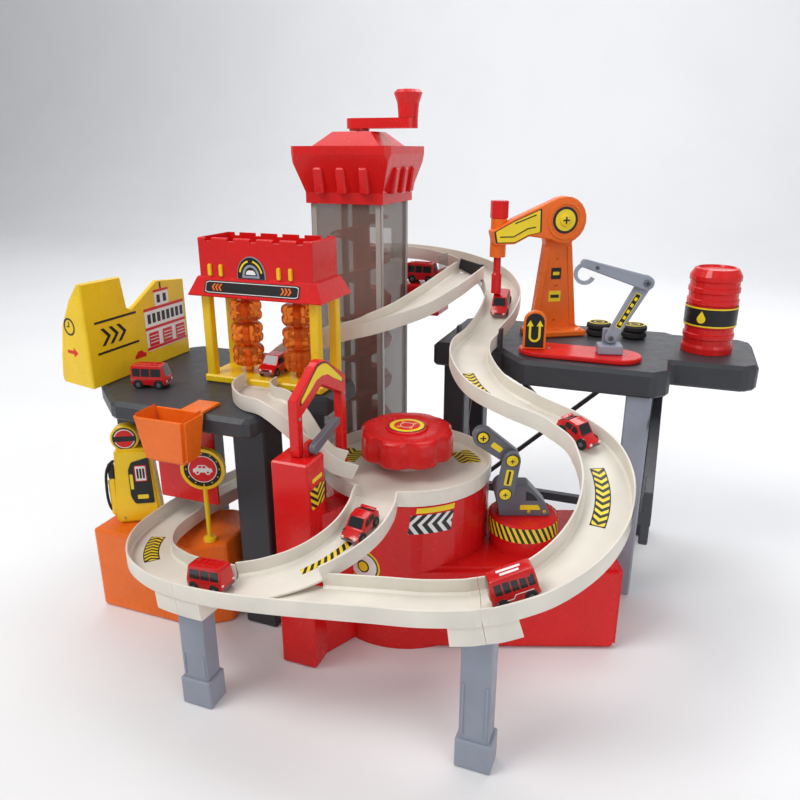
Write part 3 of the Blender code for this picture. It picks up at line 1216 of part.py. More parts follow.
def build_hook_crane(bottom):
    """The grey hook crane: its base, the lower arm and the upper arm with the hook."""
    grey = material("grey_blue", GREY_BLUE, 0.4)
    base = block("hook_base", (0.024, 0.018, 0.009), grey,
                 (*HOOK_BASE_CENTRE, bottom + 0.0045), (0, 0, HOOK_HEADING), bevel=0.001)
    ear = block("hook_ear", (0.014, 0.004, 0.024), HIDDEN,
                in_plane(HOOK_BASE_CENTRE, HOOK_HEADING, (0, bottom + 0.012), -0.0055),
                (0, 0, HOOK_HEADING), bevel=0.001)
    join(base, ear)
    link_between("hook_lower_arm", HOOK_BASE_CENTRE, HOOK_HEADING, HOOK_PIVOT, HOOK_ELBOW,
                 (0.0055, 0.0070), 0.0065, grey, -0.0035 + FIT + 0.00325)
    upper = link_between("hook_upper_arm", HOOK_BASE_CENTRE, HOOK_HEADING, HOOK_ELBOW, HOOK_TIP,
                         (0.0070, 0.0040), 0.0050, grey, FIT * 2 + 0.003 + 0.0025 + FIT)
    centre = (HOOK_TIP[0] + 0.001, HOOK_TIP[1] - 0.0100)
    outer = arc(centre, 0.0105, 110, 335, 12)
    inner = arc(centre, 0.0070, 335, 110, 12)
    hook = plate("hook_curl", outer + inner, 0.0044, HIDDEN,
                 in_plane(HOOK_BASE_CENTRE, HOOK_HEADING, (0, 0), FIT * 2 + 0.003 + 0.0025 + FIT),
                 (UPRIGHT, 0, HOOK_HEADING))
    join(upper, hook)


# Filling station

def build_filling_station():
    """The orange block with the pump and the round sign."""
    post_x, post_y, post_wide, post_deep = LEFT_POSTS[1]
    back = post_y - post_deep / 2 - FIT
    post_side = post_x + post_wide / 2 + FIT + 0.0012
    outline = [(ORANGE_LEFT, -0.250), (-0.076, -0.250), (-0.046, -0.228), (-0.046, -0.166), (-0.084, -0.166),
               (-0.125, -0.181), (post_side, -0.181), (post_side, back), (ORANGE_LEFT, back)]
    plate("orange_block", outline, ORANGE_TOP, material("orange", ORANGE, 0.3),
          (0, 0, ORANGE_TOP / 2), bevel=0.003, steps=2)

    foot = ORANGE_TOP + FIT
    yellow = material("yellow", YELLOW, 0.35)
    high = PUMP_SIZE[2]
    pump = block("gas_pump", PUMP_SIZE, yellow, (*PUMP_CENTRE, foot + high / 2), (0, 0, PUMP_TURN),
                 bevel=0.0025, steps=2, scale_top=(0.78, 0.85))
    disc = turned("pump_disc", [(0, 0.005), (PUMP_DISC - 0.001, 0.005), (PUMP_DISC, 0.004), (PUMP_DISC, -0.004),
                                (PUMP_DISC - 0.001, -0.005), (0, -0.005)], HIDDEN,
                  in_plane(PUMP_CENTRE, PUMP_TURN, (-0.006, foot + high + PUMP_DISC - 0.003)),
                  (UPRIGHT, 0, PUMP_TURN), steps=24)
    holster = block("pump_side", (0.008, 0.010, 0.040), HIDDEN,
                    in_plane(PUMP_CENTRE, PUMP_TURN, (-PUMP_SIZE[0] / 2 - 0.0012, foot + 0.026)),
                    (0, 0, PUMP_TURN), bevel=0.002)
    join(pump, disc, holster)

    sign = turned("round_sign", [(0, SIGN_POST), (0.0022, SIGN_POST), (0.0022, 0.004),
                                 (0.0060, 0.003), (0.0065, 0), (0, 0)], yellow, (*SIGN_SPOT, foot), steps=16)
    face = turned("sign_face", [(0, 0.0018), (SIGN_RADIUS - 0.003, 0.0018), (SIGN_RADIUS - 0.003, 0.003),
                                (SIGN_RADIUS, 0.003), (SIGN_RADIUS, -0.003), (0, -0.003)], HIDDEN,
                  (*SIGN_SPOT, foot + SIGN_POST + SIGN_RADIUS - 0.004),
                  (UPRIGHT, 0, SIGN_TURN), steps=32)
    join(sign, face)


def build_stage():
    """The red stage beside the tower, with the upright stop at its right end."""
    size = (STAGE_X[1] - STAGE_X[0], STAGE_Y[1] - STAGE_Y[0], STAGE_TOP - STAGE_BOTTOM)
    middle_y = sum(STAGE_Y) / 2
    stage = block("exit_stage", size, material("red_gloss", RED, 0.28),
                  (sum(STAGE_X) / 2, middle_y, (STAGE_TOP + STAGE_BOTTOM) / 2), bevel=0.0015)
    stop = block("stage_stop", (0.002, 0.030, 0.018), HIDDEN,
                 (STAGE_X[1] - 0.003, middle_y, STAGE_TOP + 0.008), bevel=0)
    join(stage, stop)


# Small cars

def build_car(name, kind, spot, heading, pitch=0.0):
    """A small car whose wheels stand at its spot, nose along its heading."""
    lean = (Matrix.Rotation(heading, 3, "Z") @ Matrix.Rotation(pitch, 3, "Y") @ Matrix.Rotation(UPRIGHT, 3, "X"))
    outline = [(x * CAR_LENGTH, z * CAR_HEIGHT) for x, z in CAR_SHAPES[kind]]
    car = plate(name, outline, CAR_WIDTH, material("red_car", RED, 0.25), spot, lean.to_euler(), bevel=0.0014)
    for axle in (-CAR_AXLE, CAR_AXLE):
        wheel_spot = Vector(spot) + lean @ Vector((axle * CAR_LENGTH, WHEEL_RADIUS, 0))
        wheels = turned(f"{name}_axle_{axle:+}", [
            (0, CAR_WIDTH / 2 + 0.0006), (WHEEL_RADIUS, CAR_WIDTH / 2 + 0.0006),
            (WHEEL_RADIUS, -CAR_WIDTH / 2 - 0.0006), (0, -CAR_WIDTH / 2 - 0.0006)],
            HIDDEN, wheel_spot, lean.to_euler(), steps=12)
        join(car, wheels)
    return car


def on_track(stops, position):
    """The spot, heading and pitch of a car on a track, its position counted in stops."""
    path = smooth_path(stops)
    index = int(position * TRACK_SPAN_STEPS)
    rest = position * TRACK_SPAN_STEPS - index
    spot = path[index].lerp(path[index + 1], rest)
    before = path[max(index - 1, 0)]
    after = path[min(index + 2, len(path) - 1)]
    way = (after - before).normalized()
    heading = math.atan2(way.y, way.x)
    pitch = math.asin(-way.z)
    lift = TRACK_WALL + CAR_LIFT
    normal = Vector((math.cos(heading) * math.sin(pitch), math.sin(heading) * math.sin(pitch), math.cos(pitch)))
    return spot + normal * lift, heading, pitch


def build_cars():
    """Eight cars: one on the left deck, one in the wash, one on the stage and five on the tracks."""
    build_car("car_deck", "van", (-0.138, -0.196, LEFT_DECK_TOP + FIT), math.radians(15))
    build_car("car_wash", "hatch", ((WASH_X[0] + WASH_X[1]) / 2, (WASH_Y[0] + WASH_Y[1]) / 2,
                                    LEFT_DECK_TOP + WASH_BASE + FIT), math.radians(-90))
    build_car("car_stage", "van", (0.051, 0.0600, STAGE_TOP + FIT), 0.0)
    build_car("car_lift", LIFTED_CAR, *on_track(UPPER_PATH, LIFTED_CAR_STOP))
    build_car("car_curve", "sport", *on_track(LONG_PATH, 7.5))
    build_car("car_front", "truck", *on_track(LONG_PATH, 12.45))
    build_car("car_ramp", "sport", *on_track(RAMP_PATH, 2.75))
    build_car("car_left", "van", *on_track(FRONT_PATH, 7.5))


def main():
    """Builds the garage from the lift outwards."""
    build_tower()
    build_tracks()
    build_left_deck()
    build_right_deck()
    build_wash()
    build_base()
    build_robot()
    build_right_top()
    build_filling_station()
    build_stage()
    build_cars()


main()
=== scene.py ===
"""Looks of the toy parking garage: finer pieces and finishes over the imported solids.

Metres, +Z up, in the frame of the solids. Every new shape is a surface worked out with numpy:
a section carried along a path, a profile spun round an axis, or a slab over a grid of points.
"""
import math

import bmesh
import bpy
import numpy as np
from bpy.props import FloatProperty, FloatVectorProperty, IntProperty, PointerProperty
from mathutils import Matrix, Vector
from mathutils.bvhtree import BVHTree


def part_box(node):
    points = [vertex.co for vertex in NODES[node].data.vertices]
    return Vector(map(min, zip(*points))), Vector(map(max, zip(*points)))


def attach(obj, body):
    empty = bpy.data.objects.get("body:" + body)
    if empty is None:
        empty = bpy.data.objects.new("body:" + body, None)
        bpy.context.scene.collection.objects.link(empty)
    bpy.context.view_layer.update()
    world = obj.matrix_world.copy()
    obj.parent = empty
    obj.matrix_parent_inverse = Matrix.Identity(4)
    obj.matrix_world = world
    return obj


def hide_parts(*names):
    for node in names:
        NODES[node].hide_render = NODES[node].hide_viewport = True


bl_info = {
    "name": "Toy Parking Garage",
    "version": (1, 0, 0),
    "blender": (4, 5, 0),
    "location": "View3D > Sidebar > Garage",
    "description": "Dresses the toy parking garage with its tracks, cars, stickers and finishes",
    "category": "Add Mesh",
}

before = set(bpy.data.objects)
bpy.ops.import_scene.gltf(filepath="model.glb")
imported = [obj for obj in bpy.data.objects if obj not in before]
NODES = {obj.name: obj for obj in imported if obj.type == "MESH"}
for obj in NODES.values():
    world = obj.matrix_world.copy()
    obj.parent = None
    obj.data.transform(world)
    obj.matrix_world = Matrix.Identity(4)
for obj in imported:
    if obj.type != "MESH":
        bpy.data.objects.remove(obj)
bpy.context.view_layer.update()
UP = np.array((0.0, 0.0, 1.0))
# Print coordinates are in millimetres, and a sticker reaches a little into the face it is stuck on
MILLIMETRES = 1000.0
SEAT = 0.0001


# Sizes and colours that a user would change

def colour_choice(name, text, value):
    """A colour in the panel, as linear red, green and blue."""
    return FloatVectorProperty(name=name, description=text, subtype="COLOR", size=3, min=0, max=1,
                               default=value)


def length_choice(name, text, value):
    """A length in the panel, in metres."""
    return FloatProperty(name=name, description=text, unit="LENGTH", min=0, precision=4, default=value)


class GarageColours(bpy.types.PropertyGroup):
    """Colours of the moulded plastics and the print."""
    red: colour_choice("Red", "Base, dial, roof, cap and crank", (0.66, 0.010, 0.010))
    car_red: colour_choice("Car red", "Bodies of the small cars", (0.58, 0.006, 0.008))
    orange: colour_choice("Orange", "Crane, hopper and filling-station block", (0.84, 0.155, 0.010))
    yellow: colour_choice("Yellow", "Wash stand, sign wall, pump and round sign", (0.86, 0.56, 0.010))
    ivory: colour_choice("Ivory", "Tracks, slide and platform", (0.74, 0.70, 0.62))
    charcoal: colour_choice("Charcoal", "Decks and their frames", (0.040, 0.043, 0.050))
    grey_blue: colour_choice("Grey blue", "Legs, right post and hook crane", (0.27, 0.30, 0.36))
    robot_grey: colour_choice("Robot grey", "Robot arm and lever", (0.13, 0.135, 0.16))
    amber: colour_choice("Amber", "Clear wash rollers", (0.95, 0.24, 0.03))
    smoke: colour_choice("Smoke", "Clear lift shaft", (0.78, 0.73, 0.67))
    print_yellow: colour_choice("Print yellow", "Yellow ink of the stickers", (0.88, 0.66, 0.02))
    print_black: colour_choice("Print black", "Black ink of the stickers", (0.012, 0.012, 0.013))
    print_white: colour_choice("Print white", "White ink of the stickers", (0.82, 0.82, 0.80))
    floor: colour_choice("Floor", "Studio floor and backdrop", (0.82, 0.82, 0.83))


class GarageSizes(bpy.types.PropertyGroup):
    """Sizes of the pieces that the scene makes."""
    track_width: length_choice("Track width", "Outside width of an open track", 0.040)
    track_depth: length_choice("Track depth", "Height of a track's walls over its underside", 0.014)
    track_wall: length_choice("Track wall", "Thickness of a track's floor and walls", 0.0018)
    slide_width: length_choice("Slide width", "Outside width of the slide", 0.036)
    car_length: length_choice("Car length", "Length of a small car", 0.035)
    car_width: length_choice("Car width", "Width of a small car's body", 0.0175)
    car_height: length_choice("Car height", "Height of a van's roof", 0.0225)
    wheel_radius: length_choice("Wheel radius", "Radius of a small car's wheel", 0.0042)
    sticker: length_choice("Sticker thickness", "Height of a sticker over what it is stuck on", 0.00025)
    path_steps: IntProperty(name="Path steps", description="Steps between two stops of a track", min=3,
                            max=24, default=12)
    round_steps: IntProperty(name="Round steps", description="Steps round a turned piece", min=24,
                             max=128, default=64)


def sizes():
    """The sizes set in the scene."""
    return bpy.context.scene.garage_sizes


def colours():
    """The colours set in the scene."""
    return bpy.context.scene.garage_colours


# Surfaces

def unit(vectors):
    """Vectors scaled to length one."""
    return vectors / np.linalg.norm(vectors, axis=-1, keepdims=True)


def smooth_line(stops, steps):
    """A centripetal Catmull-Rom line: each span blends the four stops round it by root distance."""
    p = np.asarray(stops, float)
    p = np.vstack([2 * p[0] - p[1], p, 2 * p[-1] - p[-2]])
    a, b, c, d = (q[:, None, :] for q in (p[:-3], p[1:-2], p[2:-1], p[3:]))

    def root(first, second):
        return np.sqrt(np.linalg.norm(second - first, axis=2, keepdims=True))

    t1 = root(a, b)
    t2 = t1 + root(b, c)
    t3 = t2 + root(c, d)
    t = t1 + (t2 - t1) * (np.arange(steps) / steps)[None, :, None]
    a1 = a + (b - a) * t / t1
    a2 = b + (c - b) * (t - t1) / (t2 - t1)
    a3 = c + (d - c) * (t - t2) / (t3 - t2)
    b1 = a1 + (a2 - a1) * t / t2
    b2 = a2 + (a3 - a2) * (t - t1) / (t3 - t1)
    line = (b1 + (b2 - b1) * (t - t1) / (t2 - t1)).reshape(-1, 3)
    return np.vstack([line, p[-2]])


def rails(path):
    """The way along, across to the right and up from a path, at each of its points."""
    along = unit(np.gradient(path, axis=0))
    across = unit(np.cross(along, UP))
    return along, across, np.cross(across, along)


def carried(path, section):
    """A section of (across, up) pairs carried along a path: point = path + across x + up z."""
    _, across, up = rails(path)
    section = np.asarray(section, float)
    return path[:, None] + across[:, None] * section[None, :, :1] + up[:, None] * section[None, :, 1:]


def run_lengths(path):
    """The distance along a path from its first point to each point."""
    steps = np.linalg.norm(np.diff(path, axis=0), axis=1)
    return np.concatenate([[0.0], np.cumsum(steps)])


def part_of(path, start, end, count):
    """Evenly spaced points of a path between two distances along it."""
    lengths = run_lengths(path)
    wanted = np.linspace(start, end, count)
    return np.stack([np.interp(wanted, lengths, path[:, axis]) for axis in range(3)], axis=1)


def rounded(corners, radius, steps=3):
    """A closed outline with each corner turned into a parabola that starts and ends at a radius from it."""
    p = np.asarray(corners, float)
    radius = np.broadcast_to(radius, len(p))[:, None]
    to_last = np.roll(p, 1, axis=0) - p
    to_next = np.roll(p, -1, axis=0) - p
    start = p + unit(to_last) * np.minimum(radius, 0.48 * np.linalg.norm(to_last, axis=1, keepdims=True))
    end = p + unit(to_next) * np.minimum(radius, 0.48 * np.linalg.norm(to_next, axis=1, keepdims=True))
    t = np.linspace(0, 1, steps + 1)[None, :, None]
    curve = (1 - t) ** 2 * start[:, None] + 2 * t * (1 - t) * p[:, None] + t ** 2 * end[:, None]
    return curve.reshape(-1, p.shape[1])


def rectangle(x0, x1, y0, y1):
    """The corners of a rectangle, counterclockwise."""
    return np.array([(x0, y0), (x1, y0), (x1, y1), (x0, y1)], float)


def plate(x0, x1, y0, y1, corner):
    """A rectangle with rounded corners."""
    return rounded(rectangle(x0, x1, y0, y1), corner)


def tab(half_wide, half_high, corner):
    """A rectangle with rounded corners round the origin."""
    return plate(-half_wide, half_wide, -half_high, half_high, corner)


def ring(radius, steps, start=0.0, end=360.0):
    """Points of an arc round the origin, between two angles in degrees."""
    whole = abs(end - start) >= 360
    angles = np.radians(np.linspace(start, end, steps, endpoint=not whole))
    return np.stack([radius * np.cos(angles), radius * np.sin(angles)], axis=1)


def spun(profile, steps, swell=None):
    """A profile of (radius, height) spun round Z: point = (r cos a, r sin a, z), r times swell(a, z)."""
    profile = np.asarray(profile, float)
    angles = np.linspace(0, 2 * math.pi, steps, endpoint=False)[None, :]
    r = profile[:, :1] * np.ones_like(angles)
    z = profile[:, 1:] * np.ones_like(angles)
    if swell is not None:
        r = r * swell(angles, z)
    return np.stack([r * np.cos(angles), r * np.sin(angles), z], axis=2)


def axes(heading=0.0, tilt=0.0, roll=0.0):
    """Rows are the directions of local x, y and z, turned by a heading, then tilted and rolled."""
    turn = Matrix.Rotation(heading, 3, "Z") @ Matrix.Rotation(tilt, 3, "Y") @ Matrix.Rotation(roll, 3, "X")
    return np.array(turn.transposed())


def upright(heading, tilt=0.0, lean=0.0):
    """Axes of an outline stood up on a heading and leaned back: x runs along it, y up, z to the front."""
    stand = Matrix.Rotation(math.radians(90) - lean, 3, "X")
    turn = Matrix.Rotation(heading, 3, "Z") @ stand @ Matrix.Rotation(tilt, 3, "Z")
    return np.array(turn.transposed())


def on_plane(origin, heading, along, up, offset=0.0):
    """A spot of an upright plane: along its heading, up, and offset towards its front."""
    x = origin[0] + along * math.cos(heading) + offset * math.sin(heading)
    y = origin[1] + along * math.sin(heading) - offset * math.cos(heading)
    return np.array((x, y, up))


def bent(points, centre, radius, facing, height):
    """Points bent round an upright cylinder: angle = facing + x / radius, distance = radius + z."""
    points = np.asarray(points, float)
    angle = facing + points[..., 0] / radius
    reach = radius + points[..., 2]
    return np.stack([centre[0] + reach * np.cos(angle), centre[1] + reach * np.sin(angle),
                     height + points[..., 1]], axis=-1)


def stroke(line, width):
    """The outline of a line drawn with a pen of a width: out along one side and back along the other."""
    line = np.asarray(line, float)
    way = unit(np.gradient(line, axis=0))
    side = np.stack([-way[:, 1], way[:, 0]], axis=1) * width / 2
    return np.vstack([line - side, (line + side)[::-1]])


def placed(points, spot, turn=None):
    """Points moved from their own axes to their place."""
    points = np.asarray(points, float)
    if turn is not None:
        points = points @ turn
    return points + np.asarray(spot, float)


def tube_faces(rows, cols, closed=False):
    """Faces of a tube over a grid whose columns go round, its ends shut flat unless it closes on itself."""
    i, j = np.meshgrid(np.arange(rows if closed else rows - 1), np.arange(cols), indexing="ij")
    after, below = (j + 1) % cols, (i + 1) % rows
    faces = np.stack([i * cols + j, i * cols + after, below * cols + after, below * cols + j], axis=-1)
    faces = faces.reshape(-1, 4).tolist()
    if not closed:
        faces.append(list(range(cols))[::-1])
        faces.append(list(range((rows - 1) * cols, rows * cols)))
    return faces


def sheet_faces(rows, cols):
    """Faces of an open sheet over a grid."""
    i, j = np.meshgrid(np.arange(rows - 1), np.arange(cols - 1), indexing="ij")
    first = i * cols + j
    return np.stack([first, first + 1, first + cols + 1, first + cols], axis=-1).reshape(-1, 4)


class Build:
    """Gathers the surfaces of one piece, each with its finish and its print coordinates."""

    def __init__(self):
        self.points = []
        self.faces = []
        self.finishes = []
        self.prints = []
        self.total = 0

    def add(self, points, faces, finish=0, prints=None):
        """Adds points and the faces between them."""
        points = np.asarray(points, float).reshape(-1, 3)
        if prints is None:
            prints = np.zeros((len(points), 2))
        self.points.append(points)
        self.faces += [[i + self.total for i in face] for face in faces]
        self.finishes += [finish] * len(faces)
        self.prints.append(np.asarray(prints, float).reshape(-1, 2))
        self.total += len(points)

    def skin(self, grid, finish=0, closed=False, prints=None):
        """A tube over a grid: its columns go round and its rows go along."""
        self.add(grid, tube_faces(*grid.shape[:2], closed), finish, prints)

    def slab(self, outside, inside, finish=0, prints=None):
        """A closed sheet between two grids of the same size."""
        rows, cols = outside.shape[:2]
        face = sheet_faces(rows, cols)
        size = rows * cols
        rim = np.concatenate([np.arange(cols), np.arange(1, rows) * cols + cols - 1,
                              (rows - 1) * cols + np.arange(cols - 2, -1, -1),
                              np.arange(rows - 2, 0, -1) * cols])
        after = np.roll(rim, -1)
        side = np.stack([after, rim, rim + size, after + size], axis=1)
        faces = np.concatenate([face, face[:, ::-1] + size, side]).tolist()
        if prints is not None:
            prints = np.concatenate([np.asarray(prints).reshape(-1, 2)] * 2)
        self.add(np.concatenate([outside.reshape(-1, 3), inside.reshape(-1, 3)]), faces, finish, prints)

    def panel(self, outline, low, high, spot, turn=None, finish=0, edge=0.0):
        """An outline carried up from low to high, its top edge drawn in; it prints in millimetres."""
        outline = np.asarray(outline, float)
        middle = outline.mean(axis=0)
        reach = np.abs(outline - middle).max()
        levels = [(low, 0.0), (high - edge, 0.0), (high, edge)] if edge else [(low, 0.0), (high, 0.0)]
        rows = []
        for height, drawn_in in levels:
            flat = middle + (outline - middle) * (1 - drawn_in / reach)
            rows.append(np.column_stack([flat, np.full(len(flat), height)]))
        grid = np.stack(rows)
        self.skin(placed(grid, spot, turn), finish, prints=grid[..., :2] * MILLIMETRES)

    def turned(self, profile, spot, turn=None, finish=0, steps=None, swell=None, closed=False):
        """A profile of (radius, height) spun round the local z axis."""
        grid = spun(profile, steps or sizes().round_steps, swell)
        self.skin(placed(grid, spot, turn), finish, closed, grid[..., :2] * MILLIMETRES)

    def block(self, size, spot, turn=None, finish=0, edge=0.0008):
        """A box with rounded edges: a rounded rectangle carried up, drawn in at both ends."""
        wide, deep, high = size
        near = edge * 0.3
        rows = []
        for height, drawn_in in ((0, edge), (near, near), (edge, 0), (high - edge, 0), (high - near, near),
                                 (high, edge)):
            flat = tab(wide / 2 - drawn_in, deep / 2 - drawn_in, edge)
            rows.append(np.column_stack([flat, np.full(len(flat), height - high / 2)]))
        self.skin(placed(np.stack(rows), spot, turn), finish)

    def label(self, outline, spot, turn, finish=0, lift=0.0):
        """A flat sticker over a face; lift stacks it on the stickers below."""
        self.panel(outline, lift - SEAT, lift + sizes().sticker, spot, turn, finish)

    def disc(self, radius, spot, turn, finish=0, lift=0.0, inner=0.0):
        """A round sticker, or a ring of one."""
        top, foot = lift + sizes().sticker, lift - SEAT
        profile = [(inner, top), (radius, top), (radius, foot), (inner, foot)]
        self.turned(profile, spot, turn, finish, 48, closed=inner > 0)

    def bolt(self, radius, spot, turn, finish=0, slot_finish=None):
        """A round bolt head with a rounded rim and, where it has a finish, a crossed slot."""
        high, foot = radius * 0.45, -0.0003
        self.turned([(0, high), (radius * 0.7, high), (radius * 0.93, high * 0.8), (radius, high * 0.4),
                     (radius, foot), (0, foot)], spot, turn, finish, 24)
        if slot_finish is not None:
            long, thin = radius * 0.55, radius * 0.13
            arm = np.array([(long, thin), (thin, thin), (thin, long)])
            turned = arm[:, ::-1] * (-1, 1)
            cross = np.vstack([arm, turned, -arm, -turned])
            self.panel(cross, high - 0.0002, high + 0.0001, spot, turn, slot_finish)

    def wrap(self, centre, radius, facing, width, low, high, finish=0, lean=0.0, steps=24, flip=1.0):
        """A sticker bent round an upright cylinder, leaned sideways by a share of its height."""
        x = np.linspace(-width / 2, width / 2, steps)[:, None]
        y = np.linspace(low, high, 4)[None, :]
        middle = (low + high) / 2
        flat = np.stack([x + (y - middle) * lean, y + 0 * x, 0 * x * y], axis=2)
        prints = np.stack([x * flip + 0 * y, y - middle + 0 * x], axis=2) * MILLIMETRES
        outside, inside = (bent(flat + (0, 0, lift), centre, radius, facing, 0.0)
                           for lift in (sizes().sticker, -SEAT))
        self.slab(outside, inside, finish, prints)

    def sector(self, centre, inner, outer, start, end, height, finish=0):
        """A sticker on a round floor between two radii and two angles in degrees, printed along the arc."""
        angle = np.radians(np.linspace(start, end, 20))[:, None]
        reach = np.linspace(inner, outer, 4)[None, :]
        middle = (inner + outer) / 2
        flat = np.stack([centre[0] + reach * np.cos(angle), centre[1] + reach * np.sin(angle),
                         height + 0 * reach * angle], axis=2)
        prints = np.stack([angle * middle + 0 * reach, reach - middle + 0 * angle], axis=2) * MILLIMETRES
        self.slab(flat + (0, 0, sizes().sticker), flat, finish, prints)

    def piece(self, name, body, finishes, replaced=(), crease=35.0):
        """Puts the surfaces into one object that rides on a body."""
        mesh = bpy.data.meshes.new(name)
        mesh.from_pydata(np.concatenate(self.points).tolist(), [], self.faces)
        prints = mesh.uv_layers.new(name="print")
        corners = np.zeros(len(mesh.loops), np.int32)
        mesh.loops.foreach_get("vertex_index", corners)
        prints.data.foreach_set("uv", np.concatenate(self.prints)[corners].ravel())
        mesh.polygons.foreach_set("material_index", np.asarray(self.finishes, np.int32))
        for finish_name in finishes:
            mesh.materials.append(finish_of(finish_name))
        bm = bmesh.new()
        bm.from_mesh(mesh)
        bmesh.ops.remove_doubles(bm, verts=bm.verts, dist=1e-7)
        bmesh.ops.recalc_face_normals(bm, faces=bm.faces)
        bm.to_mesh(mesh)
        bm.free()
        mesh.polygons.foreach_set("use_smooth", np.ones(len(mesh.polygons), bool))
        mesh.set_sharp_from_angle(angle=math.radians(crease))
        mesh.update()
        obj = bpy.data.objects.new(name, mesh)
        bpy.context.scene.collection.objects.link(obj)
        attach(obj, body)
        if replaced:
            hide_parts(*replaced)
        return obj


# Finishes

def node(tree, kind, inputs=None, **settings):
    """A shader node with its settings, and its inputs set or linked."""
    made = tree.nodes.new(kind)
    for key, value in settings.items():
        setattr(made, key, value)
    for key, value in (inputs or {}).items():
        if isinstance(value, bpy.types.NodeSocket):
            tree.links.new(value, made.inputs[key])
        else:
            made.inputs[key].default_value = value
    return made


def maths(tree, operation, first, second=0.0, third=0.0):
    """The result of a Math node on one, two or three values."""
    return node(tree, "ShaderNodeMath", {0: first, 1: second, 2: third}, operation=operation).outputs[0]


def group_of(name, inputs, outputs, fill):
    """A shader node group, made once. fill(tree, entry, result) links its nodes."""
    tree = bpy.data.node_groups.get(name)
    if tree is None:
        tree = bpy.data.node_groups.new(name, "ShaderNodeTree")
        for label, kind in inputs:
            tree.interface.new_socket(label, in_out="INPUT", socket_type="NodeSocket" + kind)
        for label, kind in outputs:
            tree.interface.new_socket(label, in_out="OUTPUT", socket_type="NodeSocket" + kind)
        entry = tree.nodes.new("NodeGroupInput")
        result = tree.nodes.new("NodeGroupOutput")
        fill(tree, entry.outputs, result.inputs)
    return tree


def noise(tree, place, scale, detail, roughness=0.5):
    """The value of a noise texture at a place."""
    inputs = {"Vector": place, "Scale": scale, "Detail": detail, "Roughness": roughness}
    return node(tree, "ShaderNodeTexNoise", inputs).outputs["Fac"]


def fill_moulding(tree, entry, result):
    """Slow clouds for colour, finer ones for gloss, and a fine grain over slow waves for relief."""
    place = node(tree, "ShaderNodeTexCoord").outputs["Object"]
    waves = maths(tree, "MULTIPLY", noise(tree, place, 45.0, 1.0), 0.6)
    height = maths(tree, "MULTIPLY_ADD", noise(tree, place, entry["Grain"], 2.0), entry["Relief"], waves)
    bump = node(tree, "ShaderNodeBump", {"Height": height, "Strength": 0.35, "Distance": 0.0004})
    tree.links.new(noise(tree, place, 26.0, 3.0, 0.55), result["Cloud"])
    tree.links.new(noise(tree, place, 90.0, 4.0, 0.62), result["Smear"])
    tree.links.new(bump.outputs["Normal"], result["Normal"])


def fill_edge_wear(tree, entry, result):
    """Where a surface turns sharply outwards, broken up by noise, from Geometry's Pointiness."""
    sharp = node(tree, "ShaderNodeNewGeometry").outputs["Pointiness"]
    place = node(tree, "ShaderNodeTexCoord").outputs["Object"]
    edge = node(tree, "ShaderNodeMapRange", {"Value": sharp, "From Min": 0.54, "From Max": 0.62})
    tree.links.new(maths(tree, "MULTIPLY", edge.outputs[0], noise(tree, place, 160.0, 3.0)), result["Wear"])


def stripes(folded):
    """What fills a mask of stripes: one where u plus the lean of v, or of |v| if folded, starts a pitch."""
    def fill(tree, entry, result):
        place = node(tree, "ShaderNodeUVMap", uv_map="print").outputs[0]
        along, across, _ = node(tree, "ShaderNodeSeparateXYZ", {0: place}).outputs
        if folded:
            across = maths(tree, "ABSOLUTE", across)
        leaned = maths(tree, "ADD", along, maths(tree, "MULTIPLY", across, entry["Lean"]))
        turns = maths(tree, "ADD", maths(tree, "DIVIDE", leaned, entry["Pitch"]), 100.0)
        mask = maths(tree, "LESS_THAN", maths(tree, "FRACT", turns), entry["Share"])
        tree.links.new(mask, result["Mask"])
    return fill


MOULDING = ("moulded_surface", (("Grain", "Float"), ("Relief", "Float")),
            (("Cloud", "Float"), ("Smear", "Float"), ("Normal", "Vector")), fill_moulding)
EDGE_WEAR = ("edge_wear", (), (("Wear", "Float"),), fill_edge_wear)
STRIPES = (("Pitch", "Float"), ("Lean", "Float"), ("Share", "Float"))
CHEVRONS = ("chevron_mask", STRIPES, (("Mask", "Float"),), stripes(True))
SLANTS = ("slant_mask", STRIPES, (("Mask", "Float"),), stripes(False))


def grouped(tree, kind, **inputs):
    """A node that uses one of the shared groups."""
    made = node(tree, "ShaderNodeGroup")
    made.node_tree = group_of(*kind)
    for label, value in inputs.items():
        made.inputs[label].default_value = value
    return made.outputs


def shaded(tint, factor):
    """A colour made lighter or darker, opaque."""
    return (*[min(1.0, channel * factor) for channel in tint], 1.0)


def tones(tree, factor, dark, light):
    """A colour ramp between two tones."""
    ramp = node(tree, "ShaderNodeValToRGB", {"Fac": factor})
    for element, position, colour in zip(ramp.color_ramp.elements, (0.3, 0.7), (dark, light)):
        element.position = position
        element.color = colour
    return ramp.outputs["Color"]


def blended(tree, factor, first, second):
    """Two colours mixed by a factor."""
    return node(tree, "ShaderNodeMix", {0: factor, 6: first, 7: second}, data_type="RGBA").outputs[2]


def ranged(tree, value, low, high):
    """A value from 0.3 to 0.7 spread between low and high."""
    inputs = {"Value": value, "From Min": 0.3, "From Max": 0.7, "To Min": low, "To Max": high}
    return node(tree, "ShaderNodeMapRange", inputs).outputs[0]


def new_finish(name):
    """A new material with its node tree and its shader."""
    material = bpy.data.materials.new(name)
    material.use_nodes = True
    tree = material.node_tree
    return material, tree, tree.nodes["Principled BSDF"]


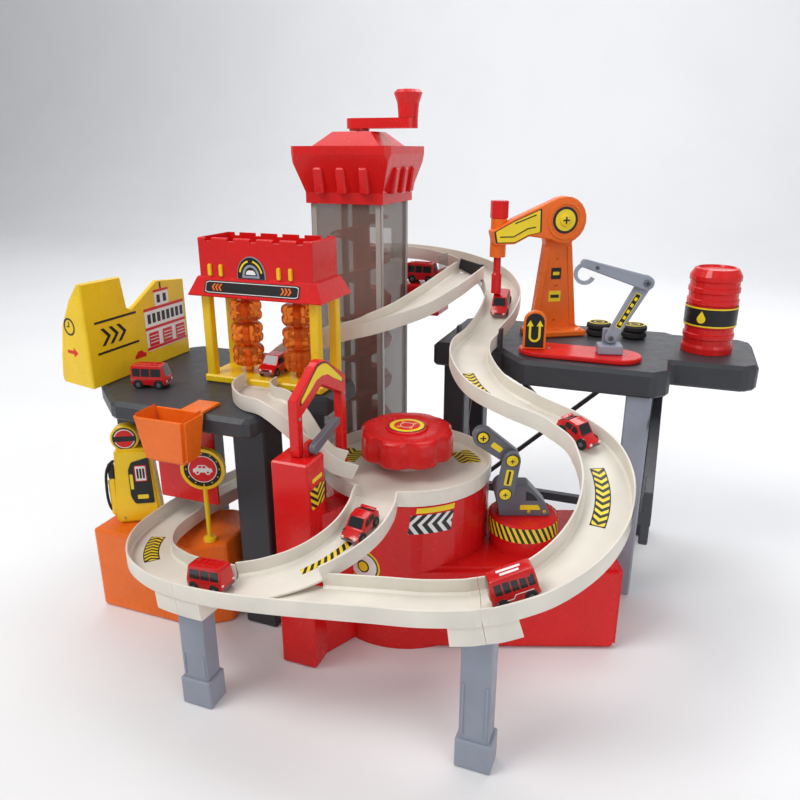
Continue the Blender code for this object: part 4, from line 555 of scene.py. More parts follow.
def surfaced(name, gloss, grain, relief):
    """A new material with uneven gloss and relief, and the clouds that its colour can follow."""
    material, tree, shader = new_finish(name)
    surface = grouped(tree, MOULDING, Grain=grain, Relief=relief)
    tree.links.new(ranged(tree, surface["Smear"], *gloss), shader.inputs["Roughness"])
    tree.links.new(surface["Normal"], shader.inputs["Normal"])
    return material, tree, shader, surface["Cloud"]


def moulded(name, tint, gloss, grain, relief, coat=0.0, wear=1.25, spread=0.07):
    """Moulded plastic: cloudy colour, uneven gloss, fine grain and paler edges."""
    material, tree, shader, cloud = surfaced(name, gloss, grain, relief)
    body = tones(tree, cloud, shaded(tint, 1 - spread), shaded(tint, 1 + spread))
    worn = maths(tree, "MULTIPLY", grouped(tree, EDGE_WEAR)["Wear"], 0.5)
    tree.links.new(blended(tree, worn, body, shaded(tint, wear)), shader.inputs["Base Color"])
    shader.inputs["Specular IOR Level"].default_value = 0.36
    shader.inputs["Coat Weight"].default_value = coat
    shader.inputs["Coat Roughness"].default_value = 0.08
    return material


def clear(name, tint, gloss, transmission, ior, spread=0.05):
    """Clear tinted plastic with slight waves."""
    material, tree, shader, cloud = surfaced(name, gloss, 500.0, 0.1)
    colour = tones(tree, cloud, shaded(tint, 1 - spread), shaded(tint, 1 + spread))
    tree.links.new(colour, shader.inputs["Base Color"])
    shader.inputs["Transmission Weight"].default_value = transmission
    shader.inputs["IOR"].default_value = ior
    return material


def printed(name, ground, ink, mask, pitch, lean, share):
    """A printed sticker: ink in stripes over its ground colour, with a slightly uneven film."""
    material, tree, shader, cloud = surfaced(name, (0.28, 0.38), 2200.0, 0.1)
    under = tones(tree, cloud, shaded(ground, 0.9), shaded(ground, 1.08))
    over = tones(tree, cloud, shaded(ink, 0.93), shaded(ink, 1.05))
    striped = grouped(tree, mask, Pitch=pitch, Lean=lean, Share=share)["Mask"]
    tree.links.new(blended(tree, striped, under, over), shader.inputs["Base Color"])
    return material


def make_finish(name):
    """The material of one of the garage's finishes."""
    c = colours()
    # Tint, gloss, scale of the grain, relief, then clear coat, edge wear and spread of the tones where set
    plastics = {
        "red_plastic": (c.red, (0.20, 0.30), 1400.0, 0.16, 0.05),
        "car_paint": (c.car_red, (0.14, 0.22), 2400.0, 0.08, 0.35),
        "orange_plastic": (c.orange, (0.22, 0.32), 1400.0, 0.18, 0.05),
        "yellow_plastic": (c.yellow, (0.24, 0.34), 1400.0, 0.18, 0.05),
        "ivory_plastic": (c.ivory, (0.30, 0.42), 1200.0, 0.22),
        "charcoal_plastic": (c.charcoal, (0.36, 0.50), 1800.0, 0.5),
        "grey_blue_plastic": (c.grey_blue, (0.32, 0.44), 1500.0, 0.3),
        "robot_plastic": (c.robot_grey, (0.32, 0.44), 1600.0, 0.35),
        "yellow_print": (c.print_yellow, (0.28, 0.36), 2200.0, 0.1),
        "black_print": (c.print_black, (0.26, 0.36), 2200.0, 0.1),
        "white_print": (c.print_white, (0.28, 0.38), 2200.0, 0.1),
        "red_print": (c.red, (0.28, 0.38), 2200.0, 0.1),
        "orange_print": (c.orange, (0.28, 0.38), 2200.0, 0.1),
        "screw_steel": ((0.42, 0.42, 0.43), (0.30, 0.45), 1800.0, 0.3),
        # The black of the car windows also paints the rings round the tyres, as painted shade of the wheel
        # arches
        "window_black": ((0.010, 0.011, 0.014), (0.05, 0.12), 1800.0, 0.05, 0.5, 1.5),
        "rubber_black": ((0.014, 0.014, 0.015), (0.55, 0.72), 2600.0, 0.8, 0.0, 1.9, 0.15),
    }
    # Tint, gloss, transmission, index of refraction, and spread of the tones where set
    clears = {
        "smoke_clear": (c.smoke, (0.03, 0.10), 0.96, 1.12),
        "smoke_edge": (shaded(c.smoke, 0.72)[:3], (0.14, 0.24), 0.35, 1.3),
        "amber_clear": (c.amber, (0.08, 0.16), 0.72, 1.25, 0.12),
        "lamp_clear": ((0.95, 0.93, 0.85), (0.06, 0.14), 0.3, 1.4),
    }
    # Ground, ink, mask, pitch in millimetres, lean, and share of a pitch that is inked
    prints = {
        "chevron_print": (c.print_black, c.print_yellow, CHEVRONS, 6.4, 0.75, 0.50),
        "white_chevron_print": (c.print_black, c.print_white, CHEVRONS, 9.0, 0.85, 0.45),
        "hazard_print": (c.print_black, c.print_yellow, SLANTS, 6.0, 0.5, 0.5),
    }
    for table, maker in ((plastics, moulded), (clears, clear), (prints, printed)):
        if name in table:
            material = maker(name, *table[name])
            if name == "screw_steel":
                material.node_tree.nodes["Principled BSDF"].inputs["Metallic"].default_value = 1.0
            return material
    raise ValueError(f"no finish is called {name}")


def finish_of(name):
    """A finish, made when it is first asked for."""
    return bpy.data.materials.get(name) or make_finish(name)


# Where the tracks run: the underside of each, in the frame of the solids

def leads(spot, way, start, end):
    """Three stops on the straight line that both tracks of a seam follow."""
    way = unit(np.asarray(way, float))
    return [tuple(np.asarray(spot) + way * d) for d in (start, (start + end) / 2, end)]


FIT = 0.0003
SEAM_LEAD = 0.009
SEAM_DECK = ((0.138, -0.012, 0.2453), (-0.03, -1.0, 0.0))
SEAM_RIGHT = ((0.2235, -0.3105, 0.1360), (-0.955, -0.297, -0.20))
SEAM_LEFT = ((-0.0100, -0.3265, 0.1105), (-0.985, 0.172, -0.10))
SEAM_OUT = ((0.0, 0.039, 0.324), (0.0, 1.0, 0.0))
SEAM_IN = ((-0.039, 0.0, 0.066), (1.0, 0.0, 0.0))
SEAM_WASH = ((-0.035, -0.165, 0.2253), (0.0, -1.0, 0.0))
ROUTES = {
    "upper": [*leads(*SEAM_OUT, FIT, SEAM_LEAD), (0.008, 0.078, 0.322), (0.038, 0.106, 0.317),
              (0.080, 0.113, 0.309), (0.122, 0.096, 0.297), (0.146, 0.060, 0.281), (0.148, 0.030, 0.2640),
              (0.1405, 0.008, 0.2485), *leads(*SEAM_DECK, -SEAM_LEAD, 0.0)],
    "branch": [(0.104, 0.108, 0.3045), (0.101, 0.078, 0.3030), (0.098, 0.045, 0.299), (0.090, 0.0, 0.291),
               (0.072, -0.043, 0.279), (0.038, -0.068, 0.266), (0.000, -0.075, 0.253),
               (-0.026, -0.088, 0.2425), (-0.035, -0.1127, 0.2333)],
    "long": [*leads(*SEAM_DECK, FIT, SEAM_LEAD), (0.139, -0.045, 0.2450), (0.150, -0.085, 0.2415),
             (0.180, -0.134, 0.235), (0.212, -0.153, 0.229), (0.247, -0.159, 0.219), (0.276, -0.174, 0.208),
             (0.293, -0.205, 0.194), (0.295, -0.240, 0.178), (0.284, -0.269, 0.163), (0.260, -0.294, 0.148),
             *leads(*SEAM_RIGHT, -SEAM_LEAD, 0.0)],
    "front": [*leads(*SEAM_RIGHT, FIT, SEAM_LEAD), (0.182, -0.3195, 0.1300), (0.148, -0.3230, 0.1270),
              (0.107, -0.3265, 0.1227), (0.066, -0.3295, 0.1185), (0.026, -0.3305, 0.1145),
              *leads(*SEAM_LEFT, -SEAM_LEAD, 0.0)],
    "return": [*leads(*SEAM_LEFT, FIT, SEAM_LEAD), (-0.040, -0.3185, 0.1070), (-0.074, -0.2980, 0.102),
               (-0.099, -0.262, 0.097), (-0.109, -0.213, 0.092), (-0.108, -0.160, 0.0887),
               (-0.106, -0.105, 0.081), (-0.100, -0.050, 0.0755), (-0.080, -0.014, 0.0705),
               *leads(*SEAM_IN, -SEAM_LEAD, -FIT)],
    "ramp": [(0.102, -0.190, 0.1518), (0.103, -0.2135, 0.1510), (0.1085, -0.238, 0.1490),
             (0.107, -0.262, 0.1430), (0.096, -0.284, 0.1350), (0.077, -0.303, 0.1265),
             (0.052, -0.318, 0.1195), (0.030, -0.327, 0.1155)],
    "slide": [*leads(*SEAM_WASH, FIT, SEAM_LEAD), (-0.030, -0.190, 0.2253), (-0.012, -0.208, 0.2253),
              (0.007, -0.2145, 0.2253), (0.022, -0.2155, 0.2140), (0.038, -0.2115, 0.1930),
              (0.053, -0.2025, 0.1740), (0.066, -0.192, 0.1655)],
}
SOCKET_LENGTH = 0.0225
SOCKET_DROP = 0.016
BASE_CENTRE = (0.102, -0.132)
PLATFORM_RADIUS = 0.0815
LEFT_DECK_TOP = 0.225
ARCH_FRONT = (0.046, -0.2463)
ARCH_BACK = (0.0506, -0.1710)
ARCH_POST = 0.0085
PUMP_CENTRE = (-0.1555, -0.2140)
PUMP_TURN = math.radians(30)
SIGN_SPOT = (-0.064, -0.228)
SIGN_TURN = math.radians(20)
CRANE_CENTRE = (0.203, 0.070)
SPINDLE = (0.1445, 0.0330)


def route(name):
    """The smooth line of a track's underside."""
    return smooth_line(ROUTES[name], sizes().path_steps)


def kept_runs(keep):
    """The stretches of a mask that are true for three points or more, as first and next index."""
    edges = np.flatnonzero(np.diff(np.concatenate([[0], keep.astype(int), [0]])))
    return [(a, b) for a, b in zip(edges[::2], edges[1::2]) if b - a >= 3]


def nearest(points, line):
    """How far each point is, seen from above, from the nearest point of a line."""
    gaps = points[:, None, :2] - line[None, :, :2]
    return np.sqrt((gaps ** 2).sum(axis=2)).min(axis=1)


def trimmed(grid, lines, reach, bay):
    """A grid with each column shortened, at its ends, to the part outside other lanes and a round bay.

    A column's end lies where the room left, found between two rows by straight line, comes to nothing.
    """
    rows, cols = grid.shape[:2]
    room = np.full((rows, cols), 1.0)
    for line in lines:
        room = np.minimum(room, nearest(grid.reshape(-1, 3), line).reshape(rows, cols) - reach)
    if bay is not None:
        room = np.minimum(room, np.linalg.norm(grid[..., :2] - np.asarray(bay[:2]), axis=2) - bay[2])
    out = room > 0
    first = out.argmax(axis=0)
    last = rows - 1 - out[::-1].argmax(axis=0)
    index = np.arange(cols)
    before, after = np.maximum(first - 1, 0), np.minimum(last + 1, rows - 1)
    start = first - room[first, index] / (room[first, index] - room[before, index] + 1e-12) * (first > 0)
    end = last + room[last, index] / (room[last, index] - room[after, index] + 1e-12) * (last < rows - 1)
    t = start + (end - start) * np.linspace(0, 1, rows)[:, None]
    low = np.clip(np.floor(t).astype(int), 0, rows - 2)
    share = (t - low)[..., None]
    return grid[low, index] * (1 - share) + grid[low + 1, index] * share


def add_track(build, path, width, meets=(), floor_meets=(), sockets=(), bay=None):
    """A channel: a floor and two walls carried along a path.

    A wall is left out where it would stand inside another track's lane, and the floor stops there.
    """
    s = sizes()
    half, wall = width / 2, s.track_wall
    floor_half, socket_half = half - 0.0004, half - 0.001
    lip, fillet_edge = 0.0006, 0.0001
    overlap, fillet_size = 0.0003, 0.0022
    lane = half - wall * 1.8
    _, across, _ = rails(path)
    floor = rounded(rectangle(-floor_half, floor_half, 0, wall), 0.0003, 2)
    side = rounded([(half - wall, 0.0002), (half, 0), (half, s.track_depth), (half - wall, s.track_depth)],
                   (0.0002, lip, lip, lip), 3)
    inner = half - wall
    fillet = rounded([(inner - fillet_size, wall - overlap), (inner + overlap, wall - overlap),
                      (inner + overlap, wall + fillet_size)], fillet_edge, 1)
    build.skin(trimmed(carried(path, floor), floor_meets, half, bay))
    for sign in (-1, 1):
        line = path + across * sign * (half - wall / 2)
        keep = np.ones(len(path), bool)
        for other in meets:
            keep &= nearest(line, other) > lane
        if bay is not None:
            keep &= np.linalg.norm(line[:, :2] - np.asarray(bay[:2]), axis=1) > bay[2]
        for first, last in kept_runs(keep):
            build.skin(carried(path, side * (sign, 1))[first:last])
            build.skin(carried(path, fillet * (sign, 1))[first:last])
    socket = plate(-socket_half, socket_half, -SOCKET_DROP, wall / 2, 0.0012)
    length = run_lengths(path)[-1]
    for at_end in sockets:
        ends = (length - SOCKET_LENGTH, length) if at_end else (0.0, SOCKET_LENGTH)
        build.skin(carried(part_of(path, *ends, 10), socket))


def add_floor_sticker(build, path, start, end, half_width, height, finish=0, offset=0.0):
    """A sticker laid along a track's floor; it prints in millimetres along and across."""
    line = part_of(path, start, end, 24)
    _, across, up = rails(line)
    v = np.linspace(-half_width, half_width, 5)
    flat = line[:, None] + across[:, None] * (v + offset)[None, :, None]
    top = flat + up[:, None] * (height + sizes().sticker)
    prints = np.stack(np.meshgrid(run_lengths(line), v, indexing="ij"), axis=2) * MILLIMETRES
    build.slab(top, flat + up[:, None] * height, finish, prints)


# Small cars

CAR_ROOFS = {
    "van": [(-0.50, 0.90), (-0.465, 1.0), (0.40, 0.98), (0.50, 0.43)],
    "bus": [(-0.50, 1.0), (-0.475, 1.09), (0.44, 1.06), (0.50, 0.55)],
    "hatch": [(-0.50, 0.55), (-0.30, 0.87), (0.12, 0.86), (0.30, 0.50), (0.50, 0.38)],
    "sport": [(-0.50, 0.45), (-0.24, 0.71), (0.01, 0.72), (0.22, 0.42), (0.50, 0.30)],
}
CAR_BELTS = {"van": 0.48, "bus": 0.50, "hatch": 0.46, "sport": 0.38}
CAR_PANES = {
    "van": [(-0.44, -0.22), (-0.19, 0.05), (0.08, 0.36)],
    "bus": [(-0.45, -0.31), (-0.28, -0.14), (-0.11, 0.03), (0.06, 0.20), (0.23, 0.38)],
    "hatch": [(-0.34, -0.12), (-0.09, 0.17)],
    "sport": [(-0.27, -0.10), (-0.07, 0.08)],
}
CAR_SCREENS = {"van": [(0.40, 0.485)], "bus": [(0.44, 0.49)], "hatch": [(0.13, 0.28), (-0.47, -0.32)],
               "sport": [(0.02, 0.20), (-0.46, -0.27)]}


def softened(points, faces, radius):
    """A closed shape with its edges of more than 12 degrees rounded over."""
    bm = bmesh.new()
    verts = [bm.verts.new(p) for p in np.asarray(points).reshape(-1, 3)]
    for face in faces:
        bm.faces.new([verts[i] for i in face])
    bmesh.ops.remove_doubles(bm, verts=bm.verts, dist=1e-7)
    bmesh.ops.recalc_face_normals(bm, faces=bm.faces)
    sharp = [e for e in bm.edges if len(e.link_faces) == 2 and e.calc_face_angle(0) > math.radians(12)]
    bmesh.ops.bevel(bm, geom=sharp, offset=radius, segments=3, profile=0.5, affect="EDGES",
                    clamp_overlap=True)
    bm.verts.index_update()
    result = np.array([v.co[:] for v in bm.verts]), [[v.index for v in f.verts] for f in bm.faces]
    bm.free()
    return result


def car_piece(name, kind, body, spot, heading, pitch=0.0):
    """A small car: a body lofted along its roof line, with panes, lamps, bumpers and wheels."""
    paint, glass_and_arch_shade, lamps, tyres, grey, white = range(6)
    s = sizes()
    long, wide, high = s.car_length, s.car_width, s.car_height
    turn = axes(heading, pitch)
    roof = np.array(CAR_ROOFS[kind])
    belt = CAR_BELTS[kind]
    build = Build()

    def top(x):
        """Height of the roof line over the wheels' foot, in car heights."""
        return np.interp(x, roof[:, 0], roof[:, 1])

    def side(x, z):
        """Half width at a height: full up to the belt, then drawn in towards the roof."""
        over = np.clip((z - belt) / max(1.0 - belt, 0.01), 0, 1)
        nose = 1 - 0.10 * np.clip((np.abs(x) - 0.38) / 0.12, 0, 1)
        return wide / 2 * nose * (1 - 0.20 * over)

    def bar(size, at, finish, edge, slope=0.0):
        """A small block fixed to the body, its place in the car's own axes."""
        build.block(size, placed(at, spot, turn), axes(heading, pitch + slope), finish, edge)

    sill = 0.16
    rows = []
    for x in np.unique(np.concatenate([roof[:, 0], np.linspace(-0.5, 0.5, 9)])):
        peak = top(x)
        mid = min(belt, peak - 0.02)
        levels = ((0, sill), (mid, mid), (peak, peak))
        right = [(x * long, side(x, z), up * high) for z, up in levels]
        left = [(along, -across, up) for along, across, up in right]
        rows.append([left[0], *right, left[2], left[1]])
    points, faces = softened(np.array(rows), tube_faces(len(rows), 6), 0.0011)
    build.add(placed(points, spot, turn), faces, paint)

    film = 0.00018
    panes = []
    for first, last in CAR_PANES[kind]:
        x, share = np.meshgrid(np.linspace(first, last, 5), np.linspace(0.10, 0.76, 5), indexing="ij")
        z = belt + (top(x) - belt) * share
        for sign in (-1, 1):
            panes.append((x, side(x, z) * sign, z, (0, sign * film, film * 0.3)))
    for first, last in CAR_SCREENS[kind]:
        x, share = np.meshgrid(np.linspace(first, last, 6), np.linspace(-0.80, 0.80, 6), indexing="ij")
        z = top(x)
        panes.append((x, side(x, z) * share, z, (film if first > 0 else -film, 0, film)))
    for x, y, z, push in panes:
        flat = np.stack([x * long, y, z * high], axis=2)
        push = np.array(push)
        build.slab(placed(flat + push, spot, turn), placed(flat - push * 2, spot, turn), glass_and_arch_shade)

    nose = 0.5 * long
    front = axes(heading, pitch + math.radians(90))
    lamp = [(0, 0.0007), (0.0010, 0.0005), (0.0014, 0.0), (0.0014, -0.0008), (0, -0.0008)]
    for sign in (-1, 1):
        at = np.array((nose - 0.0001, sign * wide * 0.33, 0.32 * high))
        build.turned(lamp, placed(at, spot, turn), front, lamps, 16)
        bar((0.0006, 0.0022, 0.0014), (-nose - 0.0001, sign * wide * 0.36, 0.36 * high), white, 0.0002)
    for end in (-1, 1):
        bar((0.0012, wide * 0.86, 0.0016), (end * (nose - 0.0002), 0, 0.215 * high), grey, 0.0005)
    bar((0.0005, wide * 0.34, 0.0016), (nose, 0, 0.315 * high), glass_and_arch_shade, 0.0002)
    crown = top(0) * high
    if kind == "van":
        rack = crown + 0.0003
        for sign in (-1, 1):
            bar((long * 0.62, 0.0007, 0.0009), (-0.03 * long, sign * wide * 0.27, rack), paint, 0.0003)
        for step in range(4):
            bar((0.0006, wide * 0.54, 0.0006), ((-0.28 + 0.16 * step) * long, 0, rack), paint, 0.0002)
    if kind == "sport":
        bar((0.0030, wide * 0.86, 0.0007), (-0.43 * long, 0, 0.60 * high), paint, 0.0003)
        for sign in (-1, 1):
            bar((0.0012, 0.0006, 0.0020), (-0.42 * long, sign * wide * 0.3, 0.55 * high), paint, 0.0002)
    if kind == "bus":
        line, thin, edge = 0.0006, 0.0003, 0.0001
        corners = np.array(((-0.38, 0.42), (0.0, 0.42), (0.05, 0.30), (0.40, 0.30))) * (long, high)
        for sign in (-1, 1):
            outside = sign * (wide / 2 + 0.00002)
            for span, extra in ((2, 0.0), (0, 0.0), (1, line)):
                run, drop = corners[span + 1] - corners[span]
                middle = (corners[span + 1] + corners[span]) / 2
                bar((math.hypot(run, drop) + extra, thin, line), (middle[0], outside, middle[1]), white, edge,
                    math.atan2(-drop, run))
        for across, share in ((-0.12, 0.50), (0.12, 0.40)):
            strip = (-0.02 * long, across * wide, crown + 0.0001)
            bar((long * share, wide * 0.14, 0.0004), strip, white, edge)

    r = s.wheel_radius
    tyre = [(r * 0.52, 0.0013), (r * 0.90, 0.0013), (r, 0.0008), (r, -0.0008), (r * 0.90, -0.0013),
            (r * 0.52, -0.0013)]
    hub = [(0, 0.0014), (r * 0.16, 0.0014), (r * 0.22, 0.0010), (r * 0.46, 0.0008), (r * 0.56, 0.0012),
           (r * 0.56, -0.0012), (0, -0.0012)]
    arch = [(0, 0.0004), (r * 1.12, 0.0004), (r * 1.20, 0.0002), (r * 1.20, -0.0006), (0, -0.0006)]
    for axle in (-0.29, 0.29):
        for sign in (-1, 1):
            out = axes(heading, pitch, math.radians(-90 * sign))
            wheel = placed((axle * long, sign * (wide / 2 - 0.0006), r), spot, turn)
            build.turned(tyre, wheel, out, tyres, 28, closed=True)
            build.turned(hub, wheel, out, grey, 20)
            # A black ring round each tyre, just proud of the body's side, is painted shade standing in for the
            # hollow of the wheel arch
            well = placed((axle * long, sign * (wide / 2 - 0.0003), r * 1.02), spot, turn)
            build.turned(arch, well, out, glass_and_arch_shade, 28)
    return build.piece(name + "_model", body, ["car_paint", "window_black", "lamp_clear", "rubber_black",
                                               "robot_plastic", "white_print"], (name,), 28.0)


def on_route(name, position):
    """The spot, heading and pitch of a car on a track, its place counted in stops of the solids' line."""
    solid_steps = 3
    path = smooth_line(ROUTES[name], solid_steps)
    index = int(position * solid_steps)
    rest = position * solid_steps - index
    spot = path[index] + (path[index + 1] - path[index]) * rest
    way = unit(path[min(index + 2, len(path) - 1)] - path[max(index - 1, 0)])
    heading = math.atan2(way[1], way[0])
    pitch = math.asin(-way[2])
    normal = axes(heading, pitch)[2]
    return spot + normal * (sizes().track_wall + 0.0006), heading, pitch


def axis_of(name):
    """The middle of a solid's box, seen from above."""
    low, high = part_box(name)
    return (low.x + high.x) / 2, (low.y + high.y) / 2


def surface(name, start, way):
    """Where a ray first meets a solid, or None."""
    tree = BVHTree.FromObject(NODES[name], bpy.context.evaluated_depsgraph_get())
    return tree.ray_cast(Vector(start), Vector(way))[0]


# Operators

class GARAGE_OT_finish_solids(bpy.types.Operator):
    """Give every solid that is carried over its moulded finish"""
    bl_idname = "garage.finish_solids"
    bl_label = "Finish the solids"

    FINISHES = {
        "red_plastic": ("tower_foot", "tower_cap", "lift_screw", "crank", "crank_knob", "central_base",
                        "red_panel", "wash_roof", "dial", "arch", "robot_turntable", "red_plate",
                        "crane_spindle", "drum", "exit_stage"),
        "ivory_plastic": ("upper_track", "branch_track", "long_track", "front_track", "return_track", "ramp",
                          "slide", "platform_track"),
        "charcoal_plastic": ("left_deck", "right_deck", "left_frame", "right_frame", "split_gate"),
        "grey_blue_plastic": ("leg_left", "leg_right", "right_post", "hook_base", "hook_lower_arm",
                              "hook_upper_arm"),
        "robot_plastic": ("robot_foot", "robot_lower_arm", "robot_upper_arm", "lever"),
        "orange_plastic": ("orange_block", "hopper", "crane_tower", "crane_arm", "plaque"),
        "yellow_plastic": ("wash_stand", "sign_wall", "gas_pump", "round_sign"),
        "rubber_black": ("tyre_stack_left", "tyre_stack_right"),
        "amber_clear": ("wash_roller_left", "wash_roller_right"),
        "smoke_clear": ("tower_shaft",),
        "car_paint": ("car_deck", "car_wash", "car_stage", "car_lift", "car_curve", "car_front", "car_ramp",
                      "car_left"),
    }

    def execute(self, context):
        named = {n: finish for finish, names in self.FINISHES.items() for n in names}
        missing = sorted(set(NODES) - set(named))
        if missing:
            raise ValueError(f"these solids have no finish: {missing}")
        for name, finish in named.items():
            mesh = NODES[name].data
            for index in range(len(mesh.materials)):
                mesh.materials[index] = finish_of(finish)
            if not len(mesh.materials):
                mesh.materials.append(finish_of(finish))
        return {"FINISHED"}


class GARAGE_OT_tracks(bpy.types.Operator):
    """Carry the channel section along every track, the ramp and the slide"""
    bl_idname = "garage.tracks"
    bl_label = "Tracks"

    def execute(self, context):
        s = sizes()
        lines = {name: route(name) for name in ROUTES}
        # A track is given only the stretch of the other line that its own walls would stand across
        after_split = lines["branch"][s.path_steps // 2:]
        before_seam = lines["ramp"][s.path_steps * 14 // 3:]
        bay = (*BASE_CENTRE, PLATFORM_RADIUS + FIT)
        jobs = (
            ("upper", "upper_track", (after_split,), (), (), None),
            ("branch", "branch_track", (lines["upper"],), (lines["upper"],), (), None),
            ("long", "long_track", (), (), (True,), None),
            ("front", "front_track", (before_seam,), (), (False, True), None),
            ("return", "return_track", (), (), (False,), None),
            ("slide", "slide", (), (), (), None),
            ("ramp", "ramp", (lines["front"],), (), (), bay),
        )
        for name, solid, meets, floor_meets, sockets, hole in jobs:
            build = Build()
            width = s.slide_width if name == "slide" else s.track_width
            add_track(build, lines[name], width, meets, floor_meets, sockets, hole)
            build.piece(f"{solid}_channel", "garage", ["ivory_plastic"], (solid,))
        return {"FINISHED"}


class GARAGE_OT_cars(bpy.types.Operator):
    """Loft the eight small cars with their panes, lamps and wheels"""
    bl_idname = "garage.cars"
    bl_label = "Small cars"

    def execute(self, context):
        car_piece("car_deck", "van", "deck_car", (-0.138, -0.196, LEFT_DECK_TOP + FIT), math.radians(15))
        car_piece("car_wash", "hatch", "wash_car", (-0.035, -0.139, 0.2333), math.radians(-90))
        car_piece("car_stage", "van", "garage", (0.051, 0.060, 0.2968), 0.0)
        # A track, and how many of its stops a car has passed
        for name, kind, line, position in (
                ("car_lift", "hatch", "upper", 7.45), ("car_curve", "sport", "long", 7.5),
                ("car_front", "bus", "long", 12.45), ("car_ramp", "sport", "ramp", 2.75),
                ("car_left", "van", "front", 7.5)):
            car_piece(name, kind, "garage", *on_route(line, position))
        return {"FINISHED"}


class GARAGE_OT_dial(bpy.types.Operator):
    """Spin the lobed dial with its domed top, boss and label"""
    bl_idname = "garage.dial"
    bl_label = "Dial"

    def execute(self, context):
        rim_top, rim_fade = 0.1922, 0.0016

        def lobes(angle, z):
            """Eight wide lobes with narrow notches: the radius drops with the cube of a cosine wave."""
            wave = (0.5 - 0.5 * np.cos(8 * angle)) ** 3
            return 1 - 0.093 * wave * np.clip((rim_top - z) / rim_fade, 0.35, 1)

        spot = (*BASE_CENTRE, 0)
        build = Build()
        build.turned([(0, 0.1660), (0.040, 0.1660), (0.0435, 0.1664), (0.0446, 0.1675), (0.045, 0.1700),
                      (0.045, 0.1865), (0.0446, 0.1890), (0.0436, 0.1908), (0.0418, 0.1919),
                      (0.0390, rim_top), (0.0290, rim_top), (0.0270, 0.1919), (0.0, 0.1919)],
                     spot, None, 0, 192, lobes)
        build.turned([(0, 0.1936), (0.0192, 0.1936), (0.0202, 0.1930), (0.0205, 0.1915), (0, 0.1915)], spot)
        for finish, top, inner, foot, outer in ((1, 0.1939, 0.0176, 0.1934, 0.0180),
                                                (2, 0.19405, 0.0166, 0.1937, 0.0168),
                                                (3, 0.1942, 0.0124, 0.1939, 0.0126)):
            build.turned([(0, top), (inner, top), (outer, foot), (0, foot)], spot, None, finish)
        arrow = rounded([(0.0072, -0.0022), (0.0112, 0.0), (0.0072, 0.0022), (0.0082, 0.0)], 0.0002, 2)
        low, high = 0.1941, 0.19435
        for quarter in range(4):
            build.panel(arrow, low, high, spot, axes(math.radians(45 + 90 * quarter)), 2)
        build.turned([(0.0060, high), (0.0066, high), (0.0066, low), (0.0060, low)], spot, None, 4,
                     closed=True)
        build.turned([(0, 0.1600), (0.0045, 0.1600), (0.0045, 0.1665), (0, 0.1665)], spot, None, 0, 24)
        build.piece("dial_knob", "dial", ["red_plastic", "black_print", "yellow_print", "red_print",
                                          "white_print"], ("dial",))
        return {"FINISHED"}


class GARAGE_OT_rollers(bpy.types.Operator):
    """Spin the clear amber wash rollers, each with three tiers of ribs"""
    bl_idname = "garage.rollers"
    bl_label = "Wash rollers"

    def execute(self, context):
        tiers, drum, gap, widest = 3, 0.0205, 0.0016, 0.0155
        stack = tiers * drum + (tiers - 1) * gap
        pin, pin_edge = 0.004, 0.0004
        t = np.linspace(-1, 1, 33)
        crown = np.maximum(1 - np.abs(t) ** 5, 0) ** 0.5
        waist = 1 - 0.09 * np.exp(-(t / 0.16) ** 2)
        radii = widest * (0.62 + 0.38 * crown) * waist
        for side in ("left", "right"):
            name = f"wash_roller_{side}"
            low, high = (corner.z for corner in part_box(name))
            spot = (*axis_of(name), 0)
            build = Build()
            build.turned([(0, low), (pin - pin_edge, low), (pin, low + pin_edge), (pin, high - pin_edge),
                          (pin - pin_edge, high), (0, high)], spot, None, 0, 24)
            for tier in range(tiers):
                bottom = (low + high - stack) / 2 + tier * (drum + gap)
                profile = np.vstack([[(0, bottom)], np.column_stack([radii, bottom + (t + 1) / 2 * drum]),
                                     [(0, bottom + drum)]])

                def ribs(angle, z, phase=0.3 * tier):
                    """Twelve round ribs: the radius follows a power of a rectified wave."""
                    return 0.86 + 0.14 * np.abs(np.cos(6 * angle + phase)) ** 0.6

                build.turned(profile, spot, None, 0, 120, ribs)
            build.piece(f"{name}_ribs", f"roller_{side}", ["amber_clear"], (name,), 50.0)
        return {"FINISHED"}


class GARAGE_OT_track_stickers(bpy.types.Operator):
    """Lay the arrow stickers along the tracks"""
    bl_idname = "garage.track_stickers"
    bl_label = "Track stickers"

    def execute(self, context):
        floor = sizes().track_wall
        over = floor + sizes().sticker * 0.6
        border = 0.0009
        long = route("long")
        build = Build()
        for path, start, end, half_width, offset in ((route("return"), 0.070, 0.122, 0.0058, 0.0),
                                                     (long, 0.262, 0.320, 0.0050, 0.0030),
                                                     (long, 0.090, 0.168, 0.0046, 0.0048)):
            add_floor_sticker(build, path, start - border, end + border, half_width + border, floor, 2,
                              offset)
            add_floor_sticker(build, path, start, end, half_width, over, 0, offset)
        add_floor_sticker(build, route("ramp"), 0.078, 0.128, 0.0036, floor, 1, 0.0010)
        build.piece("track_arrows", "garage", ["chevron_print", "hazard_print", "black_print"])
        return {"FINISHED"}


